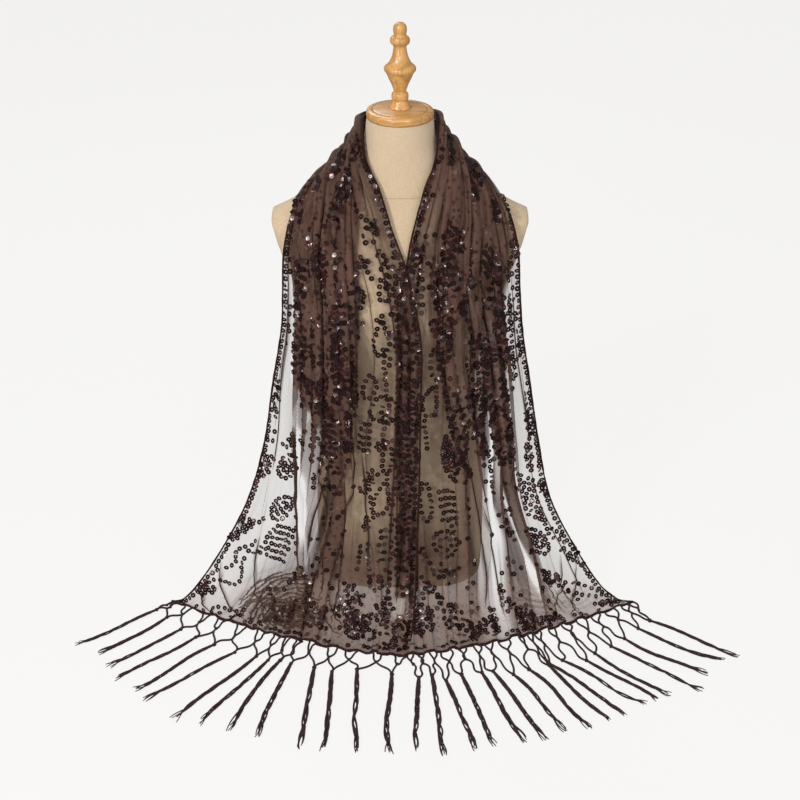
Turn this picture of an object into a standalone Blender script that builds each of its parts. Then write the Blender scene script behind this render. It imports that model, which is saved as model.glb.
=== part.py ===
"""Evening stole of sequined net, worn round the neck of a limbless dress form.

Metres, +Z up.  The form stands on z = 0 with its front towards -Y, and the viewer's
left is -X.  The stole is one straight cloth.  "Along" runs from its left hem, over the
nape at 0, to its right hem; "across" runs from the inner edge (0) to the outer edge (1).
"""
import math

import bmesh
import bpy
import mathutils
import numpy as np

# ---- Driving sizes -------------------------------------------------------------------

CLOTH_WALL = 0.0012            # thickness of the cloth's wall
GAP = 0.0003                   # air between neighbouring pieces
FLOOR_CLEAR = 0.0002           # lowest face of the cloth above the table
FORM_CLEAR = 0.0006            # least air between the form and the cloth's inner face

NECK_TOP = 0.8056              # top face of the form's neck
CAP_THICKNESS = 0.014
CAP_BOTTOM = NECK_TOP + GAP
FINIAL_BOTTOM = CAP_BOTTOM + CAP_THICKNESS + GAP

FRINGE_DROP = 0.034            # hem to the tassels' knots
TASSEL_LENGTH = 0.154
TASSEL_STRANDS_APART = 0.0032  # between the middles of a tassel's two strands at its knot
STRAND_RADIUS = 0.0012
KNOT_RADIUS = 0.0034
KNOT_SIDES, KNOT_RINGS = 5, 3
HEADING_WIDTH = 0.0045         # the narrow strip that the fringe hangs from
ROOT_DEPTH = 0.45              # how far across that strip the meshes are rooted
ROOTS_WITHIN = (0.012, 0.988)  # stretch of the strip that they are rooted along

# ---- Dress form ----------------------------------------------------------------------

# One row for each level section: its height, half width, depth before and behind, and
# how square it is (2 is an ellipse, less is pointed, more is boxy).
FORM_SECTIONS = np.array((
    (0.000, 0.150, 0.108, 0.104, 2.2),
    (0.080, 0.160, 0.112, 0.116, 2.2),
    (0.170, 0.163, 0.108, 0.120, 2.2),   # hips
    (0.265, 0.144, 0.096, 0.100, 2.2),
    (0.355, 0.124, 0.085, 0.082, 2.2),   # waist
    (0.440, 0.136, 0.102, 0.088, 2.2),
    (0.515, 0.158, 0.124, 0.096, 2.2),   # bust
    (0.575, 0.180, 0.108, 0.100, 2.1),
    (0.625, 0.207, 0.088, 0.094, 1.9),
    (0.650, 0.214, 0.075, 0.084, 1.8),   # shoulder tips
    (0.670, 0.178, 0.068, 0.076, 1.8),
    (0.690, 0.140, 0.062, 0.068, 1.8),
    (0.710, 0.105, 0.058, 0.062, 1.9),
    (0.733, 0.077, 0.054, 0.056, 2.0),
    (0.765, 0.057, 0.051, 0.051, 2.0),
    (NECK_TOP, 0.049, 0.049, 0.049, 2.0),
))
ARM_PLATE_TIP = (0.196, 0.650)   # half width and height where the flat arm plate begins
ARM_PLATE_SLANT = 0.28           # how far it leans in for each metre down
ARMPIT_HEIGHT = 0.52             # and where it ends
FORM_SIDES = 32
FORM_RING_EVERY = 0.045        # most height between two rings of the loft

# ---- Stole ---------------------------------------------------------------------------

# One row for each section across the cloth: where its inner and outer edges lie, how it
# bends back between them (1 is straight, 2 hugs the front and then turns), how it tucks
# in to the neck (1 is straight), and how far its middle swells forwards.
STATIONS = np.array((
    # along, inner x, y, z, outer x, y, z, bend, tuck, swell
    (-1.010, 0.008, -0.288, 0.0034, -0.394, -0.153, 0.0009, 1.6, 1.0, 0),   # left hem
    (-0.975, 0.010, -0.248, 0.0050, -0.376, -0.151, 0.0030, 1.6, 1.0, 0),
    (-0.930, 0.012, -0.206, 0.0300, -0.349, -0.145, 0.0300, 1.7, 1.0, 0),
    (-0.840, 0.014, -0.167, 0.1320, -0.303, -0.131, 0.0980, 1.8, 1.0, 0),
    (-0.730, 0.017, -0.153, 0.2550, -0.256, -0.113, 0.1850, 2.0, 1.0, 0),
    (-0.610, 0.019, -0.146, 0.3800, -0.224, -0.094, 0.2830, 2.1, 1.0, 0),
    (-0.490, 0.019, -0.138, 0.5040, -0.204, -0.078, 0.3920, 2.2, 1.0, 0.006),
    (-0.385, 0.011, -0.106, 0.6080, -0.185, -0.067, 0.4930, 2.0, 1.0, 0.017),
    (-0.330, -0.008, -0.082, 0.6550, -0.181, -0.063, 0.5470, 1.7, 1.0, 0.014),
    (-0.260, -0.031, -0.063, 0.7180, -0.176, -0.057, 0.6150, 1.4, 1.0, 0.004),
    (-0.200, -0.051, -0.041, 0.7580, -0.164, -0.042, 0.6650, 1.2, 1.2, 0),
    (-0.140, -0.0540, 0.000, 0.8010, -0.142, 0.000, 0.6905, 1.1, 1.60, 0),  # left shoulder
    (-0.070, -0.039, 0.039, 0.8000, -0.092, 0.070, 0.6960, 1.3, 1.35, 0),
    (0.000, 0.000, 0.055, 0.7980, 0.000, 0.088, 0.6900, 1.35, 1.35, 0),     # nape
    (0.070, 0.039, 0.039, 0.8000, 0.092, 0.070, 0.6960, 1.3, 1.35, 0),
    (0.140, 0.0540, 0.000, 0.8010, 0.142, 0.000, 0.6905, 1.1, 1.60, 0),     # right shoulder
    (0.200, 0.052, -0.041, 0.7550, 0.165, -0.040, 0.6680, 1.2, 1.2, 0),
    (0.260, 0.037, -0.063, 0.7200, 0.179, -0.055, 0.6170, 1.4, 1.0, 0.004),
    (0.330, 0.020, -0.080, 0.6600, 0.185, -0.062, 0.5490, 1.7, 1.0, 0.014),
    (0.385, 0.009, -0.099, 0.6170, 0.191, -0.066, 0.4910, 2.0, 1.0, 0.016),
    (0.490, -0.003, -0.132, 0.5080, 0.208, -0.076, 0.3950, 2.2, 1.0, 0.004),
    (0.610, -0.005, -0.140, 0.3840, 0.228, -0.094, 0.2860, 2.1, 1.0, 0),
    (0.730, -0.005, -0.147, 0.2580, 0.252, -0.110, 0.1880, 2.0, 1.0, 0),
    (0.840, -0.005, -0.161, 0.1320, 0.300, -0.130, 0.0970, 1.8, 1.0, 0),
    (0.930, -0.005, -0.200, 0.0250, 0.345, -0.145, 0.0300, 1.7, 1.0, 0),
    (0.975, -0.0045, -0.242, 0.0020, 0.378, -0.151, 0.0030, 1.6, 1.0, 0),
    (1.010, -0.004, -0.284, 0.0009, 0.402, -0.155, 0.0009, 1.6, 1.0, 0),    # right hem
))
HEM = STATIONS[-1, 0]
SHOULDER = 0.140               # where the neck stretch meets each fall

# One row for each fold, from the inner edge outwards.  The columns are levels along the
# cloth; the first table says how far across the section the fold's crest lies there, and
# the second how far it stands out, in millimetres.
FOLD_LEVELS = (-HEM, -0.80, -0.61, -0.33, -SHOULDER, SHOULDER, 0.33, 0.61, 0.80, HEM)
FOLD_PLACES = np.array((
    #  left: hem, hip, waist, chest, neck      right: neck, chest, waist, hip, hem
    (0.055, 0.06, 0.07, 0.08, 0.06, 0.06, 0.08, 0.07, 0.06, 0.055),
    (0.165, 0.17, 0.22, 0.24, 0.17, 0.17, 0.20, 0.20, 0.18, 0.165),
    (0.270, 0.31, 0.40, 0.44, 0.28, 0.28, 0.31, 0.34, 0.31, 0.280),
    (0.385, 0.43, 0.51, 0.53, 0.39, 0.39, 0.41, 0.43, 0.42, 0.390),
    (0.500, 0.53, 0.59, 0.61, 0.50, 0.50, 0.50, 0.53, 0.53, 0.500),
    (0.615, 0.63, 0.67, 0.69, 0.61, 0.61, 0.59, 0.63, 0.64, 0.610),
    (0.725, 0.73, 0.75, 0.77, 0.72, 0.72, 0.68, 0.73, 0.74, 0.720),
    (0.835, 0.84, 0.84, 0.85, 0.83, 0.83, 0.78, 0.82, 0.84, 0.830),
    (0.945, 0.94, 0.94, 0.94, 0.94, 0.94, 0.93, 0.93, 0.94, 0.945),
))
FOLD_DEPTHS = np.array((
    (0.3, 0.5, 0.5, 2.0, 4.0, 4.0, 2.0, 0.5, 0.5, 0.3),
    (3.0, 2.5, 3.0, 4.0, 5.0, 5.0, 5.0, 3.0, 2.5, 3.0),
    (5.0, 9.0, 10.0, 9.0, 6.0, 6.0, 8.0, 7.0, 8.0, 4.0),
    (3.0, 4.0, 7.0, 10.0, 6.0, 6.0, 10.0, 7.0, 4.0, 3.0),
    (5.0, 6.0, 8.0, 11.0, 6.0, 6.0, 11.0, 9.0, 7.0, 5.0),
    (3.0, 5.0, 8.0, 11.0, 6.0, 6.0, 11.0, 10.0, 8.0, 4.0),
    (4.0, 6.0, 8.0, 10.0, 6.0, 6.0, 10.0, 9.0, 9.0, 5.0),
    (3.0, 8.0, 9.0, 8.0, 6.0, 6.0, 8.0, 7.0, 5.0, 3.0),
    (2.0, 1.5, 1.5, 3.0, 6.0, 6.0, 3.0, 1.5, 1.5, 2.0),
))
FOLD_LEAN = (0.1, 0.2, 0.5, 0.3, 0.5, 0.4, 0.5, 0.2, 0.0)   # sideways for each metre out
FOLDS = len(FOLD_PLACES)
CELLS_PER_FOLD = 4
CHEST, CHEST_ROWS = 0.42, 12     # rows of cells from the shoulder down to here
FLARE, HANGING_ROWS = 0.84, 5    # and from there to where the cloth begins to flare
LANDING_ROWS = 6
NECK_ROWS = 12
JOINT_GAP = 0.0006             # along the cloth between the neck stretch and a fall

LABEL_ALONG = (-0.938, -0.913)
LABEL_ACROSS = (0.034, 0.072)
LABEL_THICKNESS = 0.0004
LABEL_CELLS = 4

# The cap's and the finial's turned outlines: radius and height above their own bottoms.
CAP_PROFILE = (
    (0.0475, 0.0000), (0.0492, 0.0012), (0.0500, 0.0045), (0.0496, 0.0085),
    (0.0478, 0.0112), (0.0420, 0.0122), (0.0405, 0.0112), (0.0390, 0.0128),
    (0.0250, CAP_THICKNESS),
)
FINIAL_PROFILE = (
    (0.0165, 0.0000), (0.0160, 0.0020), (0.0112, 0.0105), (0.0122, 0.0130),
    (0.0125, 0.0170), (0.0118, 0.0208), (0.0092, 0.0232), (0.0096, 0.0262),
    (0.0128, 0.0350), (0.0172, 0.0440), (0.0200, 0.0505), (0.0228, 0.0540),
    (0.0232, 0.0575), (0.0216, 0.0602), (0.0158, 0.0660), (0.0116, 0.0750),
    (0.0095, 0.0855), (0.0100, 0.0895), (0.0136, 0.0930), (0.0143, 0.0967),
    (0.0132, 0.1006), (0.0092, 0.1038), (0.0098, 0.1110), (0.0088, 0.1170),
    (0.0050, 0.1210),
)
TURNED_SIDES = 16
SHARP_ANGLE = 40               # degrees between faces, above which their edge stays sharp

# Each side's fringe: how many tassels, and how far across the cloth the first one hangs.
FRINGES = {
    "left": {"tassels": 15, "first": 0.045, "seed": 7},
    "right": {"tassels": 16, "first": 0.070, "seed": 11},
}
# The least and the most by which one tassel differs from the next.
TASSEL_CHANCE = {
    "turn": (-3, 3),               # degrees
    "length": (0.93, 1.05),        # share of TASSEL_LENGTH
    "spread": (0.008, 0.024),      # radians from the tassel's middle to each strand
    "bow": (-0.006, 0.006),        # sideways, half way along
}
LINK_ROLLS = (0.1, 0.75)           # each strand is turned a little about its own line,
TASSEL_ROLLS = (1.3, 1.9)          # so that no two faces of the union lie in one plane
# How far the tassels turn from straight ahead, in degrees, by their place along the hem.
FAN_COLUMNS = ("across", "left", "right")
FAN = np.array((
    (0.00, -1, -2), (0.20, -1, 16), (0.36, -5, 24), (0.46, -18, 34),
    (0.56, -38, 40), (0.70, -50, 51), (1.00, -55, 59),
))


# ---- Numbers -------------------------------------------------------------------------

def spline_weights(knots, at):
    """Catmull-Rom weights, one row for each place: how much each knot's value counts."""
    knots = np.asarray(knots, float)
    at = np.clip(np.asarray(at, float), knots[0], knots[-1])
    count = len(knots)
    slopes = np.zeros((count, count))
    for k in range(count):
        low, high = max(k - 1, 0), min(k + 1, count - 1)
        slopes[k, high] += 1 / (knots[high] - knots[low])
        slopes[k, low] -= 1 / (knots[high] - knots[low])
    cell = np.clip(np.searchsorted(knots, at, side="right") - 1, 0, count - 2)
    step = knots[cell + 1] - knots[cell]
    f = (at - knots[cell]) / step
    weights = slopes[cell] * ((f * (1 - f) ** 2) * step)[:, None]
    weights -= slopes[cell + 1] * ((f * f * (1 - f)) * step)[:, None]
    rows = np.arange(len(at))
    weights[rows, cell] += (1 + 2 * f) * (1 - f) ** 2
    weights[rows, cell + 1] += f * f * (3 - 2 * f)
    return weights


def form_section(height):
    """Half width, front and back depths and squareness of the form at each height."""
    level = np.clip(height, 0.0, NECK_TOP)
    rows = spline_weights(FORM_SECTIONS[:, 0], level.ravel()) @ FORM_SECTIONS[:, 1:]
    return [column.reshape(height.shape) for column in rows.T]


def form_level(points):
    """1 on the form's outline, less inside it and more outside."""
    x, y, z = np.moveaxis(points, -1, 0)
    half_width, front, back, power = form_section(z)
    depth = np.where(y < 0, front, back)
    return ((np.abs(x) / half_width) ** power + (np.abs(y) / depth) ** power) ** (1 / power)


def clear_of_form(points, air):
    """Points moved straight out of the form until at least this much air is left."""
    step = 0.0005
    for _ in range(4):
        level = form_level(points)
        slope = np.stack([
            form_level(points + step * axis) - form_level(points - step * axis)
            for axis in np.eye(3)
        ], axis=-1) / (2 * step)
        steepness = np.linalg.norm(slope, axis=-1)
        distance = (level - 1) / steepness
        push = np.maximum(air - distance, 0)
        points = points + slope / steepness[..., None] * push[..., None]
    return points


# ---- The stole's surface -------------------------------------------------------------

def fold_centres():
    """Where the folds' crests lie across the flat cloth."""
    return (np.arange(FOLDS) + 0.5) / FOLDS


def section_points(along, across):
    """The cloth without its folds: edges from the stations, gathered as the folds lie."""
    row = spline_weights(STATIONS[:, 0], along) @ STATIONS[:, 1:]
    ends = np.zeros((len(along), 1))
    places = spline_weights(FOLD_LEVELS, along) @ FOLD_PLACES.T
    knots = np.concatenate(((0,), fold_centres(), (1,)))
    places = np.concatenate((ends, places, ends + 1), axis=1)
    reach = np.clip(places @ spline_weights(knots, across).T, 0, 1)
    inner, outer = row[:, None, 0:3], row[:, None, 3:6]
    bend, tuck, swell = (row[:, k:k + 1] for k in (6, 7, 8))
    points = inner + (outer - inner) * np.stack((reach ** tuck, reach ** bend, reach), axis=-1)
    points[..., 1] -= swell * 4 * reach * (1 - reach)
    return points


def directions(surface, along, across):
    """Unit vectors of a surface: along the cloth, across it, and out of its outer face."""
    step = 0.0001
    run = surface(along + step, across) - surface(along - step, across)
    side = surface(along, across + step) - surface(along, across - step)
    run /= np.linalg.norm(run, axis=-1)[..., None]
    side /= np.linalg.norm(side, axis=-1)[..., None]
    normal = np.cross(run, side)
    return run, side, normal / np.linalg.norm(normal, axis=-1)[..., None]


def stole_points(along, across):
    """The middle of the cloth's wall, a row of points for each place along it."""
    along = np.clip(along, -HEM, HEM)
    across = np.clip(across, 0, 1)
    side, normal = directions(section_points, along, across)[1:]
    from_crest = np.minimum(np.abs(across[:, None] - fold_centres()) * 2 * FOLDS, 1)
    ridge = np.cos(from_crest * math.pi / 2) ** 2
    depth = np.maximum(spline_weights(FOLD_LEVELS, along) @ FOLD_DEPTHS.T, 0) / 1000
    out = (depth @ ridge.T)[..., None]
    aside = ((depth * np.array(FOLD_LEAN)) @ ridge.T)[..., None]
    points = section_points(along, across) + normal * out + side * aside
    points = clear_of_form(points, FORM_CLEAR + CLOTH_WALL / 2)
    points[..., 2] = np.maximum(points[..., 2], FLOOR_CLEAR + CLOTH_WALL / 2)
    return points


# ---- Blender helpers -----------------------------------------------------------------

def clear_scene():
    for item in list(bpy.data.objects):
        bpy.data.objects.remove(item, do_unlink=True)


def make_material(name, colour, roughness, metallic=0.0):
    material = bpy.data.materials.new(name)
    material.use_nodes = True
    shader = material.node_tree.nodes["Principled BSDF"]
    shader.inputs["Base Color"].default_value = (*colour, 1.0)
    shader.inputs["Roughness"].default_value = roughness
    shader.inputs["Metallic"].default_value = metallic
    return material


def add_object(name, bm, material):
    """Turn a bmesh into a named object of the scene, shaded smooth."""
    mesh = bpy.data.meshes.new(name)
    bm.to_mesh(mesh)
    bm.free()
    mesh.shade_smooth()
    mesh.set_sharp_from_angle(angle=math.radians(SHARP_ANGLE))
    mesh.materials.append(material)
    item = bpy.data.objects.new(name, mesh)
    bpy.context.collection.objects.link(item)
    return item


def add_wall(name, points, normals, thickness, material):
    """A closed wall of even thickness about a grid of points, outer face first."""
    bm = bmesh.new()
    rows, columns = points.shape[:2]
    faces = [
        [[bm.verts.new(point) for point in row] for row in points + normals * offset]
        for offset in (thickness / 2, -thickness / 2)
    ]
    for r in range(rows - 1):
        for c in range(columns - 1):
            corners = ((r, c), (r + 1, c), (r + 1, c + 1), (r, c + 1))
            bm.faces.new([faces[0][i][j] for i, j in corners])
            bm.faces.new([faces[1][i][j] for i, j in reversed(corners)])
    rim = [(r, 0) for r in range(rows - 1, 0, -1)]
    rim += [(0, c) for c in range(columns - 1)]
    rim += [(r, columns - 1) for r in range(rows - 1)]
    rim += [(rows - 1, c) for c in range(columns - 1, 0, -1)]
    for k, (i, j) in enumerate(rim):
        m, n = rim[k - 1]
        bm.faces.new((faces[0][m][n], faces[1][m][n], faces[1][i][j], faces[0][i][j]))
    bmesh.ops.recalc_face_normals(bm, faces=bm.faces)
    return add_object(name, bm, material)


def add_cloth(name, along, across, material):
    """A stretch of the stole as a wall."""
    points = stole_points(along, across)
    normals = directions(stole_points, along, across)[2]
    return add_wall(name, points, normals, CLOTH_WALL, material)


def add_turned(name, profile, bottom, material):
    """A solid turned about the form's axis from radii and heights above its bottom."""
    bm = bmesh.new()
    outline = [(0.0, profile[0][1]), *profile, (0.0, profile[-1][1])]
    verts = [bm.verts.new((radius, 0, bottom + height)) for radius, height in outline]
    edges = [bm.edges.new(pair) for pair in zip(verts, verts[1:])]
    bmesh.ops.spin(
        bm, geom=verts + edges, cent=(0, 0, 0), axis=(0, 0, 1),
        angle=math.tau, steps=TURNED_SIDES, use_merge=True, use_duplicate=False,
    )
    bmesh.ops.remove_doubles(bm, verts=bm.verts, dist=0.00001)
    bmesh.ops.recalc_face_normals(bm, faces=bm.faces)
    return add_object(name, bm, material)


def add_strand(bm, path, radius, roll):
    """A three-sided closed strand along a path that lies nearly level."""
    path = np.asarray(path)
    run = np.gradient(path, axis=0)
    run /= np.linalg.norm(run, axis=1)[:, None]
    side = np.cross(run, (0, 0, 1))
    side /= np.linalg.norm(side, axis=1)[:, None]
    rise = np.cross(side, run)
    rings = []
    for point, left, up in zip(path, side, rise):
        turns = roll + np.arange(3) * math.tau / 3
        rings.append([
            bm.verts.new(point + (left * math.cos(a) + up * math.sin(a)) * radius)
            for a in turns
        ])
    for near, far in zip(rings, rings[1:]):
        for k in range(3):
            bm.faces.new((near[k], near[k - 1], far[k - 1], far[k]))
    bm.faces.new(rings[0])
    bm.faces.new(reversed(rings[-1]))


# ---- The pieces ----------------------------------------------------------------------

def form_ring(height, half_width, front, back, squareness):
    """One level section of the form, cut off by the flat arm plates."""
    turn = np.arange(FORM_SIDES) * math.tau / FORM_SIDES
    power = 2 / squareness
    x = half_width * np.sign(np.cos(turn)) * np.abs(np.cos(turn)) ** power
    depth = np.where(np.sin(turn) < 0, front, back)
    y = depth * np.sign(np.sin(turn)) * np.abs(np.sin(turn)) ** power
    if height > ARMPIT_HEIGHT:
        tip, tip_height = ARM_PLATE_TIP
        reach = tip - ARM_PLATE_SLANT * max(tip_height - height, 0)
        x = np.clip(x, -reach, reach)
    return np.stack((x, y, np.full(FORM_SIDES, height)), axis=-1)


def build_torso(material):
    """The limbless form's body and neck, one closed loft through its level sections."""
    levels = FORM_SECTIONS[:, 0]
    heights = [0.0]
    for low, high in zip(levels, levels[1:]):
        rings = math.ceil((high - low) / FORM_RING_EVERY)
        heights += list(np.linspace(low, high, rings + 1)[1:])
    heights = np.array(heights)
    bm = bmesh.new()
    rings = [
        [bm.verts.new(point) for point in form_ring(height, *section)]
        for height, *section in zip(heights, *form_section(heights))
    ]
    for low, high in zip(rings, rings[1:]):
        for k in range(FORM_SIDES):
            bm.faces.new((low[k - 1], low[k], high[k], high[k - 1]))
    bm.faces.new(reversed(rings[0]))
    bm.faces.new(rings[-1])
    return add_object("form_torso", bm, material)


def build_stole(material):
    """The two falls and the neck stretch, each its own wall with a hair's gap between."""
    across = np.linspace(0, 1, FOLDS * CELLS_PER_FOLD + 1)
    joint = SHOULDER + JOINT_GAP / 2
    fall = np.concatenate((
        np.linspace(joint, CHEST, CHEST_ROWS, endpoint=False),
        np.linspace(CHEST, FLARE, HANGING_ROWS, endpoint=False),
        np.linspace(FLARE, HEM, LANDING_ROWS + 1),
    ))
    add_cloth("stole_left_fall", -fall[::-1], across, material)
    neck = np.linspace(JOINT_GAP / 2 - SHOULDER, SHOULDER - JOINT_GAP / 2, NECK_ROWS + 1)
    add_cloth("stole_neck_stretch", neck, across, material)
    add_cloth("stole_right_fall", fall, across, material)


def build_label(material):
    """The blank care label behind the left fall, near its hem."""
    along = np.linspace(*LABEL_ALONG, LABEL_CELLS + 1)
    across = np.linspace(*LABEL_ACROSS, LABEL_CELLS + 1)
    normals = directions(stole_points, along, across)[2]
    behind = CLOTH_WALL / 2 + GAP + LABEL_THICKNESS / 2
    points = stole_points(along, across) - normals * behind
    add_wall("care_label", points, normals, LABEL_THICKNESS, material)


def hem_frame(side, across):
    """Points on the hem, the way the cloth runs out over it, and its outward normals."""
    end = np.array((HEM if side == "right" else -HEM,))
    edge_line, normals = directions(stole_points, end, across)[1:]
    outwards = np.cross(edge_line, normals) * (1 if side == "right" else -1)
    return stole_points(end, across)[0], outwards[0], normals[0]


def add_tassel(bm, knot, heading, chance):
    """Two strands over the table, from inside the knot to just above the surface."""
    vary = {name: chance.uniform(*limits) for name, limits in TASSEL_CHANCE.items()}
    heading += math.radians(vary["turn"])
    share = np.linspace(0, 1, 3)[:, None]
    for way, roll in zip((-1, 1), TASSEL_ROLLS):
        turn = heading + way * vary["spread"]
        ahead = np.array((math.sin(turn), -math.cos(turn), 0))
        aside = np.array((math.cos(turn), math.sin(turn), 0))
        path = knot + ahead * TASSEL_LENGTH * vary["length"] * share
        path += aside * (way * TASSEL_STRANDS_APART / 2 + vary["bow"] * np.sin(share * math.pi))
        path[:, 2] = knot[2] + (STRAND_RADIUS + GAP - knot[2]) * share[:, 0]
        add_strand(bm, path, STRAND_RADIUS, roll)


def add_heading(side, material):
    """The narrow strip just off the hem's edge, level with it and then flat."""
    across = np.linspace(0, 1, FOLDS * CELLS_PER_FOLD + 1)
    edge, outwards, normals = hem_frame(side, across)
    strip = np.stack((edge + outwards * GAP, edge + outwards * (GAP + HEADING_WIDTH)))
    strip[1, :, 2] = np.maximum(strip[1, :, 2], FLOOR_CLEAR + CLOTH_WALL / 2)
    normals = np.stack((normals, normals * 0 + (0, 0, 1)))
    if side == "left":
        strip, normals = strip[::-1], normals[::-1]
    return add_wall(f"fringe_{side}", strip, normals, CLOTH_WALL, material)


def build_fringe(side, material):
    """A heading strip off the hem's edge, with knotted meshes and tassels fused to it."""
    sizes = FRINGES[side]
    count = sizes["tassels"]
    chance = np.random.default_rng(sizes["seed"])
    pitch = (1 - sizes["first"]) / (count - 0.5)    # the last root lies at the corner
    knots_across = sizes["first"] + pitch * np.arange(count)
    roots_across = np.clip(
        knots_across[0] + pitch * (np.arange(count + 1) - 0.5), *ROOTS_WITHIN,
    )
    turn = np.radians(np.interp(knots_across, FAN[:, 0], FAN[:, FAN_COLUMNS.index(side)]))
    knots = hem_frame(side, np.clip(knots_across, 0, 1))[0]
    knots += np.stack((np.sin(turn), -np.cos(turn), turn * 0), axis=-1) * FRINGE_DROP
    knots[:, 2] = KNOT_RADIUS + GAP
    edge, outwards, _ = hem_frame(side, roots_across)
    roots = edge + outwards * (GAP + HEADING_WIDTH * ROOT_DEPTH)
    roots[:, 2] = np.maximum(roots[:, 2], STRAND_RADIUS + GAP)

    bm = bmesh.new()
    for k in range(count):
        place = mathutils.Matrix.Translation(knots[k])
        bmesh.ops.create_uvsphere(
            bm, u_segments=KNOT_SIDES, v_segments=KNOT_RINGS, radius=KNOT_RADIUS, matrix=place,
        )
        for roll, root in zip(LINK_ROLLS, (roots[k], roots[k + 1])):
            add_strand(bm, np.stack((root, knots[k])), STRAND_RADIUS, roll)
        add_tassel(bm, knots[k], turn[k], chance)
    strands = add_object(f"strands_{side}", bm, material)
    strands.hide_render = True
    strands.display_type = "WIRE"
    heading = add_heading(side, material)
    union = heading.modifiers.new("knotted fringe", "BOOLEAN")
    union.operation = "UNION"
    union.solver = "EXACT"
    union.use_self = True
    union.object = strands


def build():
    clear_scene()
    net = make_material("sequined net", (0.055, 0.032, 0.026), 0.55)
    yarn = make_material("fringe yarn", (0.045, 0.018, 0.018), 0.65)
    linen = make_material("linen", (0.74, 0.63, 0.49), 0.85)
    wood = make_material("honey wood", (0.60, 0.34, 0.14), 0.35)
    ribbon = make_material("label ribbon", (0.70, 0.66, 0.60), 0.7)
    build_torso(linen)
    add_turned("neck_cap", CAP_PROFILE, CAP_BOTTOM, wood)
    add_turned("finial", FINIAL_PROFILE, FINIAL_BOTTOM, wood)
    build_stole(net)
    build_label(ribbon)
    for side in FRINGES:
        build_fringe(side, yarn)


build()
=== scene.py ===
import math

import bpy
import numpy as np
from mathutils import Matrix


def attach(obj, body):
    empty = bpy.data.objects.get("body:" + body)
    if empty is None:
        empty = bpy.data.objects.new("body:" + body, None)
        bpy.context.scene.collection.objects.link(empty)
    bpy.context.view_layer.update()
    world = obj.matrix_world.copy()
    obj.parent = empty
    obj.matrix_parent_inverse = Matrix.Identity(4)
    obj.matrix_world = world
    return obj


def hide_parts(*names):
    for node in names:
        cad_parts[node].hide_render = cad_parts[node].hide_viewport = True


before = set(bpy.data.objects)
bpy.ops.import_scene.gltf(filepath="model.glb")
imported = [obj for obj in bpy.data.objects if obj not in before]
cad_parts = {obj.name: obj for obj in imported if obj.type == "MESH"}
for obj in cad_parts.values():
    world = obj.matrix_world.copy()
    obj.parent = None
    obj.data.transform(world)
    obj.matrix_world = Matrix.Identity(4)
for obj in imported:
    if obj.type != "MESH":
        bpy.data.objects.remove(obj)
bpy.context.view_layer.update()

# Evening stole of sequined net on a limbless dress form, in metres, +Z up, front towards -Y.
# "Along" runs down the length of the stole from its left hem (-1.01) over the nape (0) to
# its right hem (1.01), "across" from its inner edge (0) to its outer edge (1) in the flat
# cloth, and "reach" is the same for the gathered cloth as it hangs.


def splineWeights(knots, at):
    # Catmull-Rom weights, one row for each place: how much each knot's value counts there.
    knots = np.asarray(knots, float)
    at = np.clip(np.asarray(at, float), knots[0], knots[-1])
    count = len(knots)
    slopes = np.zeros((count, count))
    for k in range(count):
        low, high = max(k - 1, 0), min(k + 1, count - 1)
        slopes[k, high] += 1 / (knots[high] - knots[low])
        slopes[k, low] -= 1 / (knots[high] - knots[low])
    cell = np.clip(np.searchsorted(knots, at, side="right") - 1, 0, count - 2)
    step = knots[cell + 1] - knots[cell]
    f = (at - knots[cell]) / step
    weights = slopes[cell] * ((f * (1 - f) ** 2) * step)[:, None]
    weights -= slopes[cell + 1] * ((f * f * (1 - f)) * step)[:, None]
    rows = np.arange(len(at))
    weights[rows, cell] += (1 + 2 * f) * (1 - f) ** 2
    weights[rows, cell + 1] += f * f * (3 - 2 * f)
    return weights


def unit(vectors):
    # each vector divided by its own length
    return vectors / np.maximum(np.linalg.norm(vectors, axis=-1, keepdims=True), 1e-12)


def smooth(x):
    # 0 below 0, 1 above 1 and 3x^2 - 2x^3 between
    x = np.clip(x, 0.0, 1.0)
    return x * x * (3 - 2 * x)


def gridQuads(rows, columns, closed=False):
    # corner numbers of the cells of a grid of points, its last column joined to the first if closed
    r, c = np.meshgrid(np.arange(rows - 1), np.arange(columns - (not closed)), indexing="ij")
    n = (c + 1) % columns
    corners = r * columns + c, r * columns + n, (r + 1) * columns + n, (r + 1) * columns + c
    return np.stack(corners, -1).reshape(-1, 4)


def repeatQuads(quads, count, size):
    # the same cells again for each of many copies, which have size points each
    return (np.arange(count)[:, None, None] * size + quads).reshape(-1, 4)


def addObject(name, data):
    item = bpy.data.objects.new(name, data)
    bpy.context.scene.collection.objects.link(item)
    return item


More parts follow.
